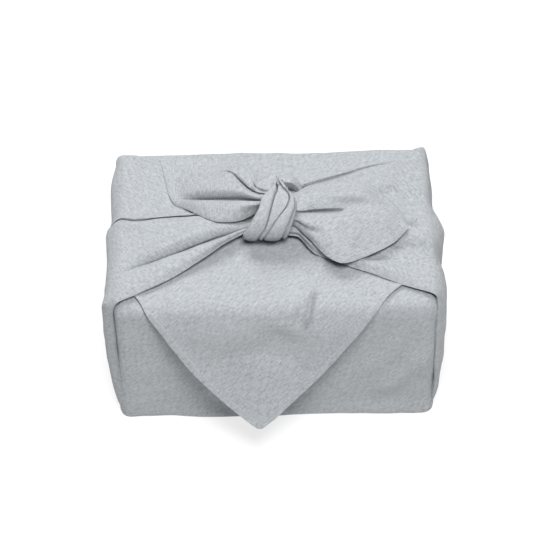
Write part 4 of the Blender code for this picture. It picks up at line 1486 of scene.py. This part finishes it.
@dataclass
class Knot:
    """The knot: a slanted wrap in three pleats round a core, and the strand that passes behind it."""

    centre: Point = (0.0, -0.5, 132.0)
    radii: tuple[float, float] = (24.5, 15.5)
    # degrees round the knot from the back over the top, then x of the left edge, the first crease, the
    # second crease and the right edge
    wrap: tuple[Station, ...] = (
        (-60.0, -6.0, 0.0, 5.0, 10.0),
        (-20.0, 0.0, 3.0, 6.0, 9.0),
        (20.0, 3.0, 4.6, 6.4, 8.2),
        (50.0, 1.8, 3.4, 5.0, 6.4),
        (75.0, -2.6, 3.4, 8.0, 10.2),
        (95.0, -8.0, 1.2, 11.8, 15.8),
        (115.0, -9.8, -0.9, 10.0, 17.2),
        (135.0, -13.2, -2.8, 4.4, 15.6),
        (155.0, -16.8, -5.0, -0.4, 13.6),
        (175.0, -19.7, -8.0, -4.0, 11.6),
        (195.0, -21.6, -10.5, -6.6, 10.0),
        (215.0, -20.4, -11.0, -7.4, 8.4),
        (240.0, -17.0, -8.0, -4.0, 7.0),
        (270.0, -12.0, -5.0, 0.0, 8.0),
        (300.0, -6.0, 0.0, 5.0, 10.0),
    )
    crest: float = 1.4
    groove: float = -4.2
    edge_in: float = 4.6
    lip: float = 0.8             # half the width of a crease between two pleats
    # the wrap sinks where it runs under the knot, past these degrees
    under: tuple[float, float] = (-10.0, 225.0)
    sink: float = 1.0
    core_radii: Point = (9.0, 17.0, 11.0)
    # x, y, z, half-size along y, half-size along z
    strand: tuple[Station, ...] = (
        (-16.0, 10.0, 128.0, 3.0, 4.0),
        (-12.4, 15.0, 129.4, 6.0, 6.4),
        (-8.4, 19.0, 130.0, 9.0, 8.2),
        (-4.4, 21.4, 129.4, 11.0, 9.2),
        (-0.4, 23.0, 129.2, 11.8, 9.6),
        (3.0, 23.5, 129.0, 10.6, 8.0),
        (6.4, 23.0, 128.0, 8.6, 6.0),
        (11.0, 22.0, 127.0, 7.6, 4.6),
    )
    loop: tuple[Station, ...] = (
        (3.4, 25.0, 131.6, 0.8, 1.4),
        (5.0, 26.4, 132.0, 3.0, 4.6),
        (7.6, 27.6, 132.0, 4.6, 6.4),
        (10.6, 28.0, 131.8, 5.0, 7.0),
        (14.0, 27.8, 131.4, 5.0, 7.0),
        (17.0, 26.6, 130.2, 4.8, 6.2),
        (19.6, 24.6, 128.4, 4.4, 4.8),
        (21.4, 21.4, 126.6, 3.6, 3.4),
    )
    loop_lean: float = 0.5
    lobe_sides: int = 20
    # five pleats that twist along a strand, the twist per millimetre, and three that run straight
    twisted: float = 0.07
    twist: float = 0.15
    straight: float = 0.04
    thickness: float = 0.9
    uneven: float = 0.5

    def _wrap_rows(self) -> list[Row]:
        """Return the rows of the wrap, each from its tucked left edge to its tucked right edge.

        Returns:
            The rows.
        """
        rows = []
        lip, deep, crest, groove = self.lip, -self.edge_in, self.crest, self.groove
        for degrees, left, first, second, right in self.wrap:
            angle = math.radians(degrees)
            sink = 0.0 if self.under[0] <= degrees <= self.under[1] else self.sink
            # x of each column, and how far it stands off
            columns = (
                (left + 3.0, deep - 1.0), (left + 0.6, deep), (left, -1.6), (left + lip, 0.4),
                ((left + first) / 2, crest), (first - lip, 0.8), (first, groove), (first + lip, 0.4),
                ((first + second) / 2, crest * 0.8),
                (second - lip, 0.6), (second, groove), (second + lip, 0.6),
                (second + (right - second) * 0.45, crest), (right - (right - second) * 0.3, 0.7),
                (right - (right - second) * 0.2, -1.6), (right - 1.1, 0.4),
                (right, -1.8), (right - 0.6, deep), (right - 3.0, deep - 1.0),
            )
            rows.append(tuple((x, self.centre[1] + (self.radii[0] + (rise - sink)) * math.cos(angle),
                               self.centre[2] + (self.radii[1] + (rise - sink)) * math.sin(angle))
                              for x, rise in columns))
        return rows

    def _lobe_rows(self, stations: tuple[Station, ...], lean: float) -> list[Row]:
        """Return closed sections along a strand.

        Args:
            stations: The strand's middle and half-sizes.
            lean: How far the top of a section comes forward, as a share of its rise.

        Returns:
            The rows.
        """
        rows = []
        for x, y, z, wide, high in stations:
            row = []
            for k in range(self.lobe_sides + 1):
                angle = 2 * math.pi * k / self.lobe_sides
                pleat = (1.0 + self.twisted * math.cos(5 * angle + x * self.twist)
                         + self.straight * math.cos(3 * angle))
                rise = high * math.sin(angle) * pleat
                row.append((x, y + wide * math.cos(angle) * pleat - lean * rise, z + rise))
            rows.append(tuple(row))
        return rows

    def build(self, cloth: ClothBuilder) -> None:
        """Add the knot to the cloth.

        Args:
            cloth: Takes the laps.
        """
        comma = Crease(((2.6, 34, 137), (0.8, 25, 139), (1.2, 14, 137)), -3.0, 1.4, fades=(0.3, 0.0))
        for name, rows, pitch, turn, creases in (
            ("knot wrap", self._wrap_rows(), 1.5, 60.0, ()),
            ("knot strand", self._lobe_rows(self.strand, 0.0), 2.0, 30.0, (comma,)),
            ("knot loop", self._lobe_rows(self.loop, self.loop_lean), 2.0, 60.0, ()),
        ):
            pitches = [pitch] * (len(rows) - 1), [pitch] * (len(rows[0]) - 1)
            net = Net.through(rows, pitches, turn)
            cloth.add(name, net, self.thickness, creases, flip=True, uneven=self.uneven)
        bpy.ops.mesh.primitive_uv_sphere_add(segments=20, ring_count=12, radius=MM)
        core = bpy.context.object
        core.name = "knot core"
        core.data.transform(Matrix.LocRotScale(Vector(self.centre) * MM, None, Vector(self.core_radii)))
        core.data.uv_layers[0].name = "threads"
        cloth.laps.append(core)


# --- The whole wrap ---


@dataclass
class FuroshikiWrap:
    """The one cloth, made from its laps."""

    flat_size: tuple[float, float] = (0.68, 0.68)

    def build(self) -> bpy.types.Object:
        """Build the cloth, hang it under the root body and hide the CAD cloth that it replaces.

        Returns:
            The piece.
        """
        cloth = ClothBuilder()
        for laps in (Sleeve(), LEFT_BAND, RIGHT_BAND, LEFT_TAIL, RIGHT_TAIL, Knot()):
            laps.build(cloth)
        piece = cloth.join("furoshiki", SlubbedCloth().make(), SewingThread().make())
        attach(piece, "root")
        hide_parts("cloth")
        return piece


@dataclass
class GiftBox:
    """The plain box inside, a CAD node that only takes a finish."""

    node: str = "box"

    def dress(self) -> None:
        """Give the box its board."""
        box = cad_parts[self.node]
        box.data.materials.clear()
        box.data.materials.append(GreyBoard().make())


# --- Studio ---


@dataclass(frozen=True)
class Viewpoint:
    """The camera, in front of the wrap and above it: millimetres, a direction, and a roll in degrees."""

    place: Point = (-13.244, -1220.785, 1350.024)
    forward: Point = (0.00800935, 0.68830798, -0.72537437)
    roll: float = -0.7978
    lens: float = 157.1
    sensor: float = 36.0

    def set_up(self) -> None:
        """Add the camera and make it the scene's own."""
        data = bpy.data.cameras.new("camera")
        data.lens, data.sensor_width = self.lens, self.sensor
        data.clip_start, data.clip_end = 0.01, 50.0
        forward = Vector(self.forward).normalized()
        level = forward.cross(Vector((0, 0, 1))).normalized()
        upright = level.cross(forward)
        roll = math.radians(self.roll)
        right = level * math.cos(roll) + upright * math.sin(roll)
        up = upright * math.cos(roll) - level * math.sin(roll)
        matrix = Matrix((right, up, -forward)).transposed().to_4x4()
        matrix.translation = Vector(self.place) * MM
        camera = put_in_scene("camera", data)
        camera.matrix_world = matrix
        bpy.context.scene.camera = camera


@dataclass(frozen=True)
class Lamp:
    """A soft square light that faces the wrap, in metres and watts."""

    name: str
    place: Point
    size: float
    power: float
    target: Point = (0.0, 0.0, 0.06)

    def set_up(self) -> None:
        """Add the light."""
        data = bpy.data.lights.new(self.name, "AREA")
        data.shape = "SQUARE"
        data.size, data.energy = self.size, self.power
        place = Vector(self.place)
        turn = (Vector(self.target) - place).to_track_quat("-Z", "Y")
        put_in_scene(self.name, data).matrix_world = Matrix.LocRotScale(place, turn, None)


@dataclass(frozen=True)
class Studio:
    """A white floor under soft light from above, in metres."""

    floor_size: float = 8.0
    floor_glow: float = 0.745
    surround: float = 0.14
    lamps: tuple[Lamp, ...] = (
        Lamp("rear overhead", (-0.32, 0.90, 1.40), 0.8, 20.5),
        Lamp("front overhead", (0.14, -0.72, 1.46), 0.5, 25.5),
    )

    def set_up(self) -> None:
        """Add the floor, the surround and the lights."""
        bpy.ops.mesh.primitive_plane_add(size=self.floor_size, location=(0, 0, 0))
        floor = bpy.context.object
        floor.name = "floor"
        graph = NodeGraph("white floor")
        floor.data.materials.append(graph.finish(
            Base_Color=(0.25, 0.25, 0.253, 1.0),
            Roughness=0.95,
            Emission_Color=(1.0, 1.0, 1.0, 1.0),
            Emission_Strength=self.floor_glow,
        ))
        world = bpy.data.worlds.new("surround")
        world.use_nodes = True
        background = world.node_tree.nodes["Background"]
        background.inputs["Color"].default_value = (1.0, 1.0, 1.0, 1.0)
        background.inputs["Strength"].default_value = self.surround
        scene = bpy.context.scene
        scene.world = world
        scene.view_settings.view_transform = "Standard"
        for lamp in self.lamps:
            lamp.set_up()


def main() -> None:
    """Build the wrap, the box and the studio."""
    logging.basicConfig(level=logging.INFO, format="%(message)s")
    Viewpoint().set_up()
    piece = FuroshikiWrap().build()
    log.info("furoshiki: %d faces", len(piece.data.polygons))
    GiftBox().dress()
    log.info("box: finished")
    Studio().set_up()


if __name__ == "__main__":
    main()
